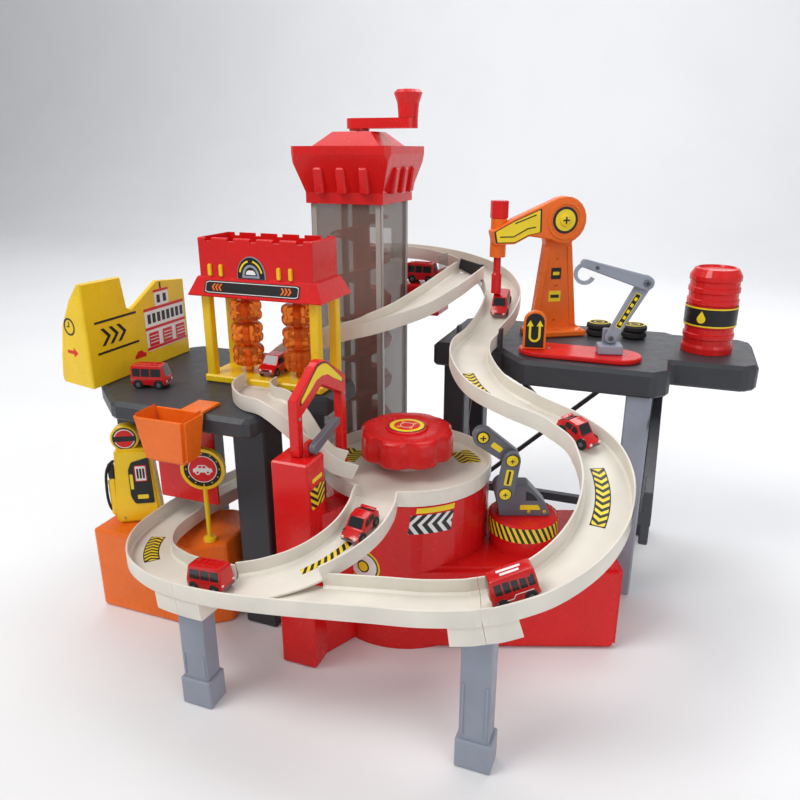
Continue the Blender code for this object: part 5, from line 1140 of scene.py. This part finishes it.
class GARAGE_OT_base_stickers(bpy.types.Operator):
    """Put the stickers on the base, the column, the platform and the robot's turntable"""
    bl_idname = "garage.base_stickers"
    bl_label = "Base stickers"

    def execute(self, context):
        drum, turntable, platform_floor = 0.080, 0.033, 0.1515
        build = Build()
        build.wrap(BASE_CENTRE, drum, math.radians(-54), 0.040, 0.1215, 0.1400, 1, 0.15, flip=-1.0)
        build.wrap(BASE_CENTRE, drum, math.radians(-51), 0.036, 0.1418, 0.1468, 2, 0.15)
        side = math.radians(90)
        patch = rounded([(-0.0095, -0.0130), (0.0095, -0.0105), (0.0095, 0.0120), (-0.0095, 0.0130)], 0.002)
        build.label(patch, (0.063, -0.2455, 0.166), upright(side, -side), 0)
        build.label(tab(0.0085, 0.0018, 0.0005), (0.063, -0.2450, 0.1822), upright(side), 2)
        for start, end in ((162, 190), (28, 54)):
            build.sector(BASE_CENTRE, 0.0520, 0.0745, start, end, platform_floor, 0)
        for radius, finish, lift in ((0.0165, 2, 0.0), (0.0148, 3, 0.0002), (0.0135, 4, 0.0004),
                                     (0.0062, 3, 0.0006), (0.0048, 2, 0.0008)):
            top, foot = lift + 0.0003, lift - SEAT
            rings = spun([(0, top), (radius * 0.5, top), (radius, top), (radius, foot), (0, foot)], 48)
            build.skin(bent(rings, BASE_CENTRE, drum, math.radians(-99.4), 0.083), finish)
        build.piece("base_stickers", "garage", ["chevron_print", "white_chevron_print", "yellow_print",
                                                "black_print", "white_print"])

        build = Build()
        build.wrap(axis_of("robot_turntable"), turntable, math.radians(-70), 0.190, 0.1012, 0.1155, 0, steps=96)
        build.piece("turntable_band", "robot_turntable", ["hazard_print"])
        return {"FINISHED"}


class GARAGE_OT_arch_stickers(bpy.types.Operator):
    """Put the bent label along the arch's crown and the bolts in its posts"""
    bl_idname = "garage.arch_stickers"
    bl_label = "Arch label"

    def execute(self, context):
        front, back = np.array(ARCH_FRONT), np.array(ARCH_BACK)
        span = float(np.linalg.norm(back - front))
        heading = math.atan2(*(back - front)[::-1])
        turn = upright(heading)
        offset = ARCH_POST / 2
        spot = on_plane(ARCH_FRONT, heading, 0, 0, offset)
        outside = [(0.0015, 0.2440), (0.0015, 0.2478), (span * 0.30, 0.2655), (span * 0.40, 0.2710),
                   (span * 0.5, 0.2723), (span * 0.60, 0.2710), (span * 0.70, 0.2655),
                   (span - 0.0015, 0.2478), (span - 0.0015, 0.2440)]
        inside = [(span * 0.76, 0.2530), (span * 0.64, 0.2592), (span * 0.5, 0.2608), (span * 0.36, 0.2592),
                  (span * 0.24, 0.2530)]
        build = Build()
        face = rounded(outside + inside, 0.0012)
        build.label(face, spot, turn, 1)
        middle = face.mean(axis=0)
        build.label(middle + (face - middle) * (0.95, 0.90), spot, turn, 0, 0.0002)
        for along in (0.0, span):
            build.bolt(0.0016, on_plane(ARCH_FRONT, heading, along, 0.2335, offset), turn, 2)
        build.piece("arch_label", "garage", ["yellow_print", "black_print", "screw_steel"])
        return {"FINISHED"}


class GARAGE_OT_wash_trim(bpy.types.Operator):
    """Put the plate, the badge and the four lamps on the wash roof"""
    bl_idname = "garage.wash_trim"
    bl_label = "Wash trim"

    def execute(self, context):
        build = Build()
        low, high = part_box("wash_roof")
        middle = (low.x + high.x) / 2
        eave_out, eave_high = 0.0066, 0.0180
        eave = upright(0.0, 0.0, math.atan2(eave_out, eave_high))
        spot = (middle - 0.002, -0.1687, 0.3213)
        board = rounded([(-0.0500, -0.0050), (-0.0470, -0.0062), (0.0470, -0.0062), (0.0500, -0.0050),
                         (0.0500, 0.0050), (0.0470, 0.0062), (-0.0470, 0.0062), (-0.0500, 0.0050)], 0.0006)
        for share, finish, lift in (((1, 1), 0, 0.0), ((0.975, 0.86), 2, 0.0002), ((0.965, 0.76), 0, 0.0003)):
            build.label(board * share, spot, eave, finish, lift)
        arrow = np.array([(-0.0022, -0.0032), (0.0000, 0.0), (-0.0022, 0.0032), (-0.0004, 0.0032),
                          (0.0018, 0.0), (-0.0004, -0.0032)])
        for side in (-1, 1):
            for step in range(3):
                mark = (arrow + (0.0330 + 0.0036 * step, 0)) * (side, 1)
                build.label(mark[::side], spot, eave, 4, 0.0005)
        front = upright(0.0)
        face = -0.1645
        badge = (middle - 0.003, face, 0.3325)
        dome = [(-0.0150, -0.0020), (0.0150, -0.0020), *ring(0.0150, 17, 0, 180)]
        dome = np.array(dome) * (1.0, 1.22)
        build.panel(dome, -0.0002, 0.0012, badge, front, 3, 0.0004)
        build.label(dome * 0.94 + (0, 0.0003), badge, front, 0, 0.0012)
        for start, end in ((15, 78), (102, 165)):
            build.label(stroke(ring(0.0118, 13, start, end) * (1, 1.2), 0.0016), badge, front, 1, 0.0014)
        build.label(stroke(ring(0.0078, 17, 0, 180) * (1, 1.25), 0.0022), badge, front, 3, 0.0014)
        build.label(plate(-0.0090, 0.0090, -0.0012, 0.0008, 0.0004), badge, front, 3, 0.0015)
        build.label(rounded([(-0.0052, 0.0018), (0.0052, 0.0018), (0.0046, 0.0040), (0.0028, 0.0058),
                             (-0.0028, 0.0058), (-0.0046, 0.0040)], 0.0006), badge, front, 2, 0.0014)
        lamp = rounded(rectangle(-0.0017, 0.0017, -0.0056, 0.0056), 0.0015, 5)
        for along in (-0.0475, -0.0355, 0.0255, 0.0375):
            build.panel(lamp, -0.0002, 0.0020, (middle + along, face, 0.3365), front, 5, 0.0006)
        build.piece("wash_trim", "garage", ["black_print", "yellow_print", "white_print", "grey_blue_plastic",
                                            "orange_print", "yellow_plastic"])
        return {"FINISHED"}


class GARAGE_OT_station_trim(bpy.types.Operator):
    """Put the screen, disc and hose on the pump, and the faces on the round sign and the sign wall"""
    bl_idname = "garage.station_trim"
    bl_label = "Station trim"

    def execute(self, context):
        build = Build()
        self.pump(build)
        self.round_sign(build)
        self.wall(build)
        build.piece("station_trim", "garage", ["black_print", "yellow_print", "white_print", "red_print",
                                               "rubber_black", "yellow_plastic", "screw_steel"])
        return {"FINISHED"}

    def pump(self, build):
        """A black screen panel with a white window, a round face on top and a hose at the side."""
        heading = PUMP_TURN
        foot, high, deep, narrowing = 0.0883, 0.078, 0.011, 0.15
        lean = math.atan2(deep * narrowing, high)
        turn = upright(heading, 0.0, lean)

        def spot(along, up):
            """A spot on the pump's leaning front."""
            return on_plane(PUMP_CENTRE, heading, along, up, deep * (1 - narrowing * (up - foot) / high))

        panel = rounded([(-0.0060, -0.0245), (0.0125, -0.0245), (0.0110, 0.0245), (-0.0060, 0.0200),
                         (-0.0095, 0.0120), (-0.0095, -0.0160)], 0.0020)
        build.panel(panel, -0.0002, 0.0008, spot(0.0040, 0.1335), turn, 0, 0.0003)
        screen = spot(0.0062, 0.1415)
        build.label(tab(0.0058, 0.0085, 0.0012), screen, turn, 3, 0.0008)
        build.label(tab(0.0048, 0.0075, 0.0008), screen, turn, 2, 0.0010)
        for step in (-1, 0, 1):
            build.label(tab(0.0009, 0.0052, 0.0003) + (0.0028 * step, 0.0), screen, turn, 0, 0.0012)
        build.label(tab(0.0015, 0.0080, 0.0013), spot(-0.0030, 0.1330), turn, 1, 0.0008)
        build.label(tab(0.0052, 0.0022, 0.0010), spot(0.0062, 0.1165), turn, 1, 0.0008)
        disc = on_plane(PUMP_CENTRE, heading, -0.006, 0.1768, 0.005)
        flat = upright(heading)
        for radius, finish, lift in ((0.0112, 0, 0.0), (0.0098, 2, 0.0002), (0.0088, 3, 0.0004)):
            build.disc(radius, disc, flat, finish, lift)
        build.label(tab(0.0098, 0.0026, 0.0006), disc, flat, 0, 0.0006)
        hose = smooth_line([on_plane(PUMP_CENTRE, heading, along, up, out) for along, up, out in (
            (-0.0170, 0.1530, 0.0030), (-0.0205, 0.1530, 0.0040), (-0.0262, 0.1450, 0.0045),
            (-0.0290, 0.1250, 0.0040), (-0.0285, 0.1060, 0.0030), (-0.0262, 0.1000, 0.0020),
            (-0.0235, 0.1020, 0.0015))], 8)
        build.skin(carried(hose, ring(0.0014, 12)), 4)
        build.block((0.0060, 0.0050, 0.0160), on_plane(PUMP_CENTRE, heading, -0.0232, 0.1420, 0.0010),
                    axes(heading), 0, 0.0012)
        for along in (-0.0135, 0.0165):
            build.bolt(0.0012, spot(along, 0.0945), turn, 6)

    def car_shape(self, half, cabin):
        """The outline of a plain car seen from the side: half its length, and the corners of its cabin."""
        return rounded([(-half, -0.0030), (half, -0.0030), (half - 0.0002, 0.0008), cabin[0], cabin[1],
                        cabin[2], (-0.0062, 0.0014), (0.0002 - half, 0.0008)], 0.0010)

    def round_sign(self, build):
        """A black ring, a white line and a red face with a plain white car shape."""
        spot = on_plane(SIGN_SPOT, SIGN_TURN, 0, 0.1633, 0.0018)
        turn = upright(SIGN_TURN)
        for radius, finish, lift in ((0.0176, 0, 0.0), (0.0134, 2, 0.0002), (0.0126, 3, 0.0004)):
            build.disc(radius, spot, turn, finish, lift)
        for x, y in ring(0.0155, 12):
            build.disc(0.0006, placed((x, y, 0.0), spot, turn), turn, 1, 0.0002)
        car = self.car_shape(0.0090, ((0.0056, 0.0014), (0.0028, 0.0044), (-0.0038, 0.0044)))
        build.label(car, spot, turn, 2, 0.0006)
        for along in (-0.0022, 0.0016):
            build.label(plate(-0.0015, 0.0013, 0.0014, 0.0034, 0.0004) + (along, 0), spot, turn, 3, 0.0008)
        for along in (-0.0048, 0.0048):
            wheel = placed((along, -0.0030, 0.0), spot, turn)
            build.disc(0.0023, wheel, turn, 2, 0.0008)
            build.disc(0.0011, wheel, turn, 3, 0.0010)

    def wall(self, build):
        """A plain red and white building with rows of windows, and a ring with an arrow on the wing."""
        turn = upright(math.radians(90))
        x = -0.1825

        def sheet(y0, y1, z0, z1, finish, lift, corner=0.0006):
            """An upright rectangle on the wall's inner face."""
            build.label(plate(y0, y1, z0, z1, corner), (x, 0, 0), turn, finish, lift)

        sheet(-0.1440, -0.0800, 0.2420, 0.2860, 2, 0.0)
        sheet(-0.1260, -0.1040, 0.2860, 0.3030, 2, 0.0)
        for z in (0.2840, 0.2640, 0.2430):
            sheet(-0.1446, -0.0794, z, z + 0.0030, 3, 0.0002)
        sheet(-0.1270, -0.1030, 0.3015, 0.3040, 3, 0.0002)
        sheet(-0.1160, -0.1140, 0.3040, 0.3110, 0, 0.0)
        for y in np.arange(-0.1400, -0.0840, 0.0076):
            sheet(y, y + 0.0048, 0.2705, 0.2805, 0, 0.0002)
        for y in (-0.1225, -0.1125):
            sheet(y, y + 0.0050, 0.2900, 0.2985, 0, 0.0002)
        for y in (-0.1405, -0.1185, -0.0965):
            sheet(y, y + 0.0150, 0.2465, 0.2610, 3, 0.0004)
            for z in (0.2500, 0.2535, 0.2570):
                sheet(y + 0.0010, y + 0.0140, z, z + 0.0008, 2, 0.0006, 0.0002)
        sheet(-0.2140, -0.1560, 0.2560, 0.2582, 0, 0.0)
        sheet(-0.2140, -0.1560, 0.2860, 0.2882, 0, 0.0)
        arrow = np.array([(0.0, -0.0085), (0.0085, 0.0), (0.0, 0.0085), (-0.0045, 0.0085), (0.0040, 0.0),
                          (-0.0045, -0.0085)])
        for y in (-0.2030, -0.1920, -0.1810):
            build.label(arrow + (y, 0.2720), (x, 0, 0), turn, 0)
        car = self.car_shape(0.0085, ((0.0050, 0.0014), (0.0024, 0.0044), (-0.0040, 0.0044)))
        build.label(car + (-0.1560, 0.2420), (x, 0, 0), turn, 3)
        heading = math.radians(-13)
        wing = upright(heading)
        spot = on_plane((-0.185, -0.2225), math.radians(167), 0.023, 0.2835)
        normal = np.array((math.sin(heading), -math.cos(heading), 0.0))
        face = spot + normal * self.wing_depth(spot, normal)
        build.disc(0.0085, face, wing, 0, 0.0, 0.0068)
        build.label(stroke([(-0.0038, 0.0), (0.0, 0.0), (0.0, 0.0050)], 0.0012), face, wing, 0)
        low = face - np.array((0, 0, 0.0250))
        build.label([(-0.0080, -0.0016), (0.0020, -0.0016), (0.0020, -0.0045), (0.0085, 0.0),
                     (0.0020, 0.0045), (0.0020, 0.0016), (-0.0080, 0.0016)], low, wing, 3)

    def wing_depth(self, spot, normal):
        """How far the wing's front face stands from its fold line."""
        away = 0.05
        start = Vector(spot + normal * away)
        hit = surface("sign_wall", start, -normal)
        if hit is None:
            raise ValueError("the sign wall has no wing")
        return away - (start - hit).length


class GARAGE_OT_crane_trim(bpy.types.Operator):
    """Put the labels and bolts on the crane, the plaque, the hook crane, the tyres and the drum"""
    bl_idname = "garage.crane_trim"
    bl_label = "Crane trim"

    def execute(self, context):
        heading = math.atan2(CRANE_CENTRE[1] - SPINDLE[1], CRANE_CENTRE[0] - SPINDLE[0])
        turn = upright(heading)

        def at(along, up, out):
            """A spot in front of the crane's middle plane."""
            return on_plane(CRANE_CENTRE, heading, along, up, out)

        build = Build()
        arm_face = 0.01315
        face = at(0, 0, arm_face)
        label = np.array([(-0.0785, 0.3612), (-0.0762, 0.3496), (-0.0556, 0.3496), (-0.0400, 0.3574),
                          (-0.0262, 0.3600), (-0.0270, 0.3845), (-0.0570, 0.3722)])
        middle = label.mean(axis=0)
        build.label(rounded(label, 0.0015), face, turn, 0)
        build.label(rounded(middle + (label - middle) * 0.93, 0.0012), face, turn, 1, 0.0002)
        for line in ([(-0.0720, 0.3560), (-0.0570, 0.3560), (-0.0420, 0.3640), (-0.0330, 0.3655)],
                     [(-0.0560, 0.3695), (-0.0330, 0.3780)]):
            build.label(stroke(line, 0.0012), face, turn, 0, 0.0004)
        head = at(0, 0.372, arm_face)
        build.turned([(0.0205, 0.0), (0.0200, 0.0012), (0.0165, 0.0012), (0.0158, 0.0), (0.0158, -0.0004),
                      (0.0205, -0.0004)], head, turn, 2, 64, closed=True)
        build.disc(0.0140, head, turn, 0)
        build.disc(0.0112, head, turn, 1, 0.0003)
        build.bolt(0.0066, head, turn, 1, 0)
        finishes = ["black_print", "yellow_print", "orange_plastic"]
        build.piece("crane_arm_trim", "crane_arm", finishes)

        build = Build()
        tower_face = -0.00015
        tower = at(0, 0, tower_face)
        for side in (-1, 1):
            leg = [(0.0262 * side, 0.2560), (0.0155 * side, 0.3440), (0.0100 * side, 0.3440),
                   (0.0195 * side, 0.2560)]
            build.panel(leg[::-side], -0.0003, 0.0012, tower, turn, 2, 0.0003)
            for along in (0.0275, 0.0):
                build.bolt(0.0019, at(along * side, 0.2525, 0.0120), None, 2, 0)
        for low, high, wide, ground, ink in ((0.3075, 0.3200, 0.0105, 0, 1), (0.2825, 0.2945, 0.0130, 1, 0)):
            half, middle = wide / 2, (low + high) / 2
            build.label(plate(-half - 0.001, half, low, high, 0.001), tower, turn, ground)
            stripe = plate(-half + 0.001, half - 0.002, middle - 0.0018, middle + 0.0018, 0.0006)
            build.label(stripe, tower, turn, ink, 0.0002)
        for z in (0.2625, 0.3010, 0.3300):
            build.bolt(0.0018, at(0, z, tower_face), turn, 2, 0)
        self.plaque(build)
        build.piece("crane_tower_trim", "garage", finishes)
        self.hook()
        self.drum_and_tyres()
        return {"FINISHED"}

    def plaque(self, build):
        """A black face with a yellow arrow that turns back on itself."""
        heading = math.radians(12)
        spot = on_plane((0.1985, -0.020), heading, 0, 0, 0.003)
        turn = upright(heading)
        arch = np.array([(-0.0092, 0.2525), (0.0092, 0.2525), *(ring(0.0092, 15, 0, 180) + (0, 0.2785))])
        build.label(arch, spot, turn, 0)
        bend = np.array([(-0.0048, 0.2745), *(ring(0.0048, 13, 180, 360) + (0, 0.2640)), (0.0048, 0.2745)])
        build.label(stroke(bend, 0.0022), spot, turn, 1, 0.0002)
        for side in (-1, 1):
            tip = np.array([(-0.0034, 0.2745), (0.0034, 0.2745), (0.0, 0.2805)]) + (0.0048 * side, 0)
            build.label(tip, spot, turn, 1, 0.0002)

    def hook(self):
        """Yellow and black strips and round pins on the two arms of the hook crane."""
        heading = math.radians(15)
        origin = (0.272, -0.010)
        turn = upright(heading)
        lower_face, upper_face = 0.0033, 0.0089
        finishes = ["black_print", "yellow_print", "robot_plastic"]
        build = Build()
        spot = on_plane(origin, heading, 0.0140, 0.2940, lower_face)
        leaned = upright(heading, math.atan2(0.056, 0.028))
        build.label(tab(0.0190, 0.0030, 0.0010), spot, leaned, 1)
        build.label(tab(0.0182, 0.0023, 0.0008), spot, leaned, 0, 0.0002)
        for step in range(5):
            bar = plate(-0.0022, 0.0012, -0.0014, 0.0014, 0.0004) + (-0.0136 + 0.0068 * step, 0)
            build.label(bar, spot, leaned, 1, 0.0004)
        build.bolt(0.0030, on_plane(origin, heading, 0, 0.266, lower_face), turn, 2, 0)
        build.piece("hook_lower_trim", "hook_lower", finishes)
        build = Build()
        build.bolt(0.0036, on_plane(origin, heading, 0.028, 0.322, upper_face), turn, 2, 0)
        build.bolt(0.0020, on_plane(origin, heading, -0.020, 0.3362, upper_face), turn, 2, 0)
        build.piece("hook_upper_trim", "hook_upper", finishes)

    def drum_and_tyres(self):
        """A black band with a yellow drop and two yellow lines round the drum, and rings on the tyres."""
        build = Build()
        centre, radius = (0.364, 0.058), 0.0254
        low, high, inner = 0.2745, 0.2925, 0.0240
        build.turned([(radius, low), (radius, high), (inner, high), (inner, low)], (*centre, 0), None, 0, 96,
                     closed=True)
        facing = math.radians(-112)
        drop = np.array([*(ring(0.0042, 19, -210, 30) - (0, 0.0012)), (0.0, 0.0070)])
        grid = np.stack([np.column_stack([drop * share, np.full(len(drop), lift)])
                         for share, lift in ((1.0, 0.0), (1.0, 0.0005), (0.5, 0.0005))])
        build.skin(bent(grid, centre, radius, facing, 0.2830), 1)
        for edge in (low, high):
            build.wrap(centre, radius, facing, 0.150, edge - 0.0007, edge + 0.0007, 1, steps=96)
        for x, y in ((0.252, 0.084), (0.290, 0.086)):
            for outer, hollow in ((0.0112, 0.0098), (0.0056, 0.0046)):
                build.disc(outer, (x, y, 0.2603), None, 1, 0.0, hollow)
        build.piece("drum_and_tyre_prints", "garage", ["black_print", "yellow_print"])


class GARAGE_OT_robot_trim(bpy.types.Operator):
    """Put the yellow bolts and strips on the robot"""
    bl_idname = "garage.robot_trim"
    bl_label = "Robot trim"

    def execute(self, context):
        origin = axis_of("robot_turntable")
        heading = math.radians(20)
        turn = upright(heading)
        shoulder, elbow, tip = (-0.0205, 0.143), (-0.0155, 0.1765), (-0.0420, 0.1960)
        foot_face, lower_face, upper_face = 0.009, 0.0163, 0.0087
        finishes = ["black_print", "yellow_print", "robot_plastic"]

        def at(along, up, out):
            """A spot in front of the robot's middle plane."""
            return on_plane(origin, heading, along, up, out)

        build = Build()
        for along in (0.0035, 0.0180):
            build.bolt(0.0016, at(along, 0.1215, foot_face), turn, 1, 0)
        foot = at(0, 0, foot_face)
        build.label(rounded([(-0.0050, 0.1235), (0.0145, 0.1235), (0.0120, 0.1285), (-0.0050, 0.1285)],
                            0.0012), foot, turn, 1)
        build.label(rounded([(0.0000, 0.1330), (0.0120, 0.1330), (0.0065, 0.1395), (0.0000, 0.1430)],
                            0.0010), foot, turn, 0)
        build.piece("robot_foot_trim", "robot_turntable", finishes)

        build = Build()
        for pin in (shoulder, elbow):
            spot = at(*pin, lower_face)
            build.disc(0.0062, spot, turn, 0)
            build.disc(0.0053, spot, turn, 1, 0.0002)
            build.bolt(0.0036, spot, turn, 1, 0)
        leaned = upright(heading, math.atan2(elbow[1] - shoulder[1], elbow[0] - shoulder[0]))
        centre = at((shoulder[0] + elbow[0]) / 2, (shoulder[1] + elbow[1]) / 2, lower_face)
        build.label(tab(0.0078, 0.0034, 0.0010), centre, leaned, 1)
        build.label(tab(0.0066, 0.0010, 0.0004), centre, leaned, 0, 0.0002)
        build.piece("robot_lower_trim", "robot_lower", finishes)

        build = Build()
        spot = at(*tip, upper_face)
        build.disc(0.0060, spot, turn, 0)
        build.bolt(0.0048, spot, turn, 1, 0)
        leaned = upright(heading, math.atan2(tip[1] - elbow[1], tip[0] - elbow[0]))
        centre = at((tip[0] + elbow[0]) / 2, (tip[1] + elbow[1]) / 2, upper_face)
        build.label(plate(-0.0050, 0.0060, -0.0026, 0.0026, 0.0008), centre, leaned, 1)
        build.piece("robot_upper_trim", "robot_upper", finishes)
        return {"FINISHED"}


class GARAGE_OT_frame_trim(bpy.types.Operator):
    """Put on the legs' borders, the screws, the shaft's corners, the stage's screen and the knob's ribs"""
    bl_idname = "garage.frame_trim"
    bl_label = "Frame trim"

    def execute(self, context):
        build = Build()
        foot = 0.030
        for name in ("leg_left", "leg_right"):
            low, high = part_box(name)
            top = high.z - 0.045
            for side in (-1, 1):
                spot = ((low.x + high.x) / 2 + side * 0.0092, (low.y + high.y) / 2 - 0.0091, (top + foot) / 2)
                build.block((0.0020, 0.0014, top - foot), spot, None, 0, 0.0004)
        build.piece("leg_borders", "garage", ["grey_blue_plastic"])

        build = Build()
        for name in ("left_deck", "right_deck"):
            low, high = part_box(name)
            for x in (low.x + 0.055, high.x - 0.060):
                build.bolt(0.0022, (x, high.y - 0.012, high.z), None, 0, 1)
        low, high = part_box("red_plate")
        for x in (low.x + 0.030, high.x - 0.018):
            build.bolt(0.0016, (x, (low.y + high.y) / 2, high.z), None, 0, 1)
        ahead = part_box("central_base")[0].y - 0.02
        for x in (0.170, 0.205):
            hit = surface("central_base", (x, ahead, 0.030), (0, 1, 0))
            if hit is not None:
                build.bolt(0.0022, hit, upright(0.0), 0, 1)
        build.piece("frame_screws", "garage", ["screw_steel", "black_print"])

        self.shaft_edges()
        build = Build()
        low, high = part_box("exit_stage")
        spot = (high.x - 0.0014, (low.y + high.y) / 2, high.z + 0.0080)
        build.block((0.0010, 0.0330, 0.0170), spot, None, 0, 0.0003)
        build.piece("stage_screen", "garage", ["smoke_clear"])

        low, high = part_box("crank_knob")
        middle = (low + high) / 2
        reach = (high.x - low.x) / 2 * 0.72
        tall = (high.z - low.z) * 0.55
        build = Build()
        for angle in np.linspace(0, 2 * math.pi, 10, endpoint=False):
            spot = (middle.x + reach * math.cos(angle), middle.y + reach * math.sin(angle), middle.z)
            build.block((0.0016, 0.0016, tall), spot, axes(angle, math.radians(9)), 0, 0.0005)
        build.piece("knob_ribs", "crank_grip", ["red_plastic"])
        return {"FINISHED"}

    def shaft_edges(self):
        """The thicker corners of the clear shaft: two strips on the outside of each corner."""
        low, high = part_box("tower_shaft")
        wide, thick = 0.0062, 0.0010
        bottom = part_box("tower_foot")[1].z + 0.001
        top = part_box("tower_cap")[0].z - 0.0005
        middle, tall = (bottom + top) / 2, top - bottom
        inward = (wide - thick) / 2
        build = Build()
        for x, x_side in ((low.x, -1), (high.x, 1)):
            for y, y_side in ((low.y, -1), (high.y, 1)):
                build.block((wide, thick, tall), (x - x_side * inward, y, middle), None, 0, 0.0003)
                build.block((thick, wide, tall), (x, y - y_side * inward, middle), None, 0, 0.0003)
        build.piece("shaft_edges", "garage", ["smoke_edge"])


class GARAGE_OT_stage(bpy.types.Operator):
    """Make the floor, the backdrop, the lamps, the world and the camera"""
    bl_idname = "garage.stage"
    bl_label = "Studio"

    def execute(self, context):
        scene = context.scene
        scene.view_settings.view_transform = "Standard"
        self.floor()
        self.sky()
        toy = (0.1, -0.1, 0.15)
        self.lamp("key", (-0.75, -1.05, 1.75), toy, 0.9, 20.0, (1.0, 0.98, 0.95))
        self.lamp("fill", (1.45, -1.05, 0.9), toy, 1.2, 7.5, (0.97, 0.98, 1.0))
        self.lamp("rim", (0.6, 1.2, 1.5), toy, 0.8, 8.0, (1.0, 1.0, 1.0))
        self.lamp("backdrop", (-0.4, 1.2, 2.8), (-0.4, 3.1, 0.3), 2.6, 58.0, (0.98, 0.99, 1.0))
        data = bpy.data.cameras.new("camera")
        data.sensor_width = 36.0
        data.lens = 32.4
        data.clip_start = 0.01
        camera = bpy.data.objects.new("camera", data)
        scene.collection.objects.link(camera)
        camera.location = (0.3215, -0.7346, 0.442)
        aim = Vector((0.0790, -0.0900, 0.2030))
        camera.rotation_euler = (aim - camera.location).to_track_quat("-Z", "Y").to_euler()
        scene.camera = camera
        return {"FINISHED"}

    def sky(self):
        """A pale world that looks brighter to the camera and through clear plastic than it shines."""
        world = bpy.data.worlds.new("studio")
        bpy.context.scene.world = world
        world.use_nodes = True
        tree = world.node_tree
        rays = tree.nodes.new("ShaderNodeLightPath").outputs
        seen = maths(tree, "MAXIMUM", rays["Is Camera Ray"], rays["Is Transmission Ray"])
        strength = node(tree, "ShaderNodeMapRange", {"Value": seen, "To Min": 0.42, "To Max": 0.90})
        ground = tree.nodes["Background"].inputs
        tree.links.new(strength.outputs["Result"], ground["Strength"])
        ground["Color"].default_value = (0.95, 0.97, 1.0, 1.0)

    def floor(self):
        """A floor that bends up into a backdrop: a quarter circle between two flats."""
        reach, bend, flat, under = 9.0, 1.2, 2.2, 0.0002
        t = np.radians(np.linspace(0, 90, 24))
        depth = np.concatenate([[-4.0], flat + bend * np.sin(t), [flat + bend]])
        height = np.concatenate([[0.0], bend - bend * np.cos(t), [reach]]) - under
        depth, x = np.meshgrid(depth, np.linspace(-reach, reach, 9), indexing="ij")
        grid = np.stack([x, depth, height[:, None] + 0 * x], axis=2)
        mesh = bpy.data.meshes.new("floor")
        mesh.from_pydata(grid.reshape(-1, 3).tolist(), [], sheet_faces(*x.shape).tolist())
        mesh.polygons.foreach_set("use_smooth", np.ones(len(mesh.polygons), bool))
        material, tree, shader = new_finish("studio_floor")
        place = node(tree, "ShaderNodeTexCoord").outputs["Object"]
        tint = colours().floor
        cloudy = tones(tree, noise(tree, place, 3.0, 2.0), shaded(tint, 0.985), shaded(tint, 1.015))
        tree.links.new(cloudy, shader.inputs["Base Color"])
        shader.inputs["Roughness"].default_value = 0.75
        mesh.materials.append(material)
        obj = bpy.data.objects.new("floor", mesh)
        bpy.context.scene.collection.objects.link(obj)

    def lamp(self, name, spot, target, size, power, tint):
        """A soft square lamp aimed at a target."""
        data = bpy.data.lights.new(name, "AREA")
        data.size = size
        data.energy = power
        data.color = tint
        obj = bpy.data.objects.new(name, data)
        bpy.context.scene.collection.objects.link(obj)
        obj.location = spot
        aim = Vector(target) - Vector(spot)
        obj.rotation_euler = aim.to_track_quat("-Z", "Y").to_euler()


STEPS = (GARAGE_OT_finish_solids, GARAGE_OT_tracks, GARAGE_OT_cars, GARAGE_OT_dial, GARAGE_OT_rollers,
         GARAGE_OT_track_stickers, GARAGE_OT_base_stickers, GARAGE_OT_arch_stickers, GARAGE_OT_wash_trim,
         GARAGE_OT_station_trim, GARAGE_OT_crane_trim, GARAGE_OT_robot_trim, GARAGE_OT_frame_trim,
         GARAGE_OT_stage)


class GARAGE_PT_panel(bpy.types.Panel):
    """Lists the garage's sizes, colours and pieces"""
    bl_idname = "GARAGE_PT_panel"
    bl_label = "Toy Parking Garage"
    bl_space_type = "VIEW_3D"
    bl_region_type = "UI"
    bl_category = "Garage"

    def draw(self, context):
        for group in (context.scene.garage_sizes, context.scene.garage_colours):
            box = self.layout.box()
            for key in group.__annotations__:
                box.prop(group, key)
        for step in STEPS:
            self.layout.operator(step.bl_idname)


def register():
    """Registers the classes and hangs the settings on the scene."""
    for entry in (GarageColours, GarageSizes, *STEPS, GARAGE_PT_panel):
        bpy.utils.register_class(entry)
    bpy.types.Scene.garage_colours = PointerProperty(type=GarageColours)
    bpy.types.Scene.garage_sizes = PointerProperty(type=GarageSizes)


def unregister():
    """Undoes register."""
    del bpy.types.Scene.garage_sizes
    del bpy.types.Scene.garage_colours
    for entry in reversed((GarageColours, GarageSizes, *STEPS, GARAGE_PT_panel)):
        bpy.utils.unregister_class(entry)


def main():
    """Runs every step in order."""
    register()
    for step in STEPS:
        group, call = step.bl_idname.split(".")
        getattr(getattr(bpy.ops, group), call)()


if __name__ == "__main__":
    main()
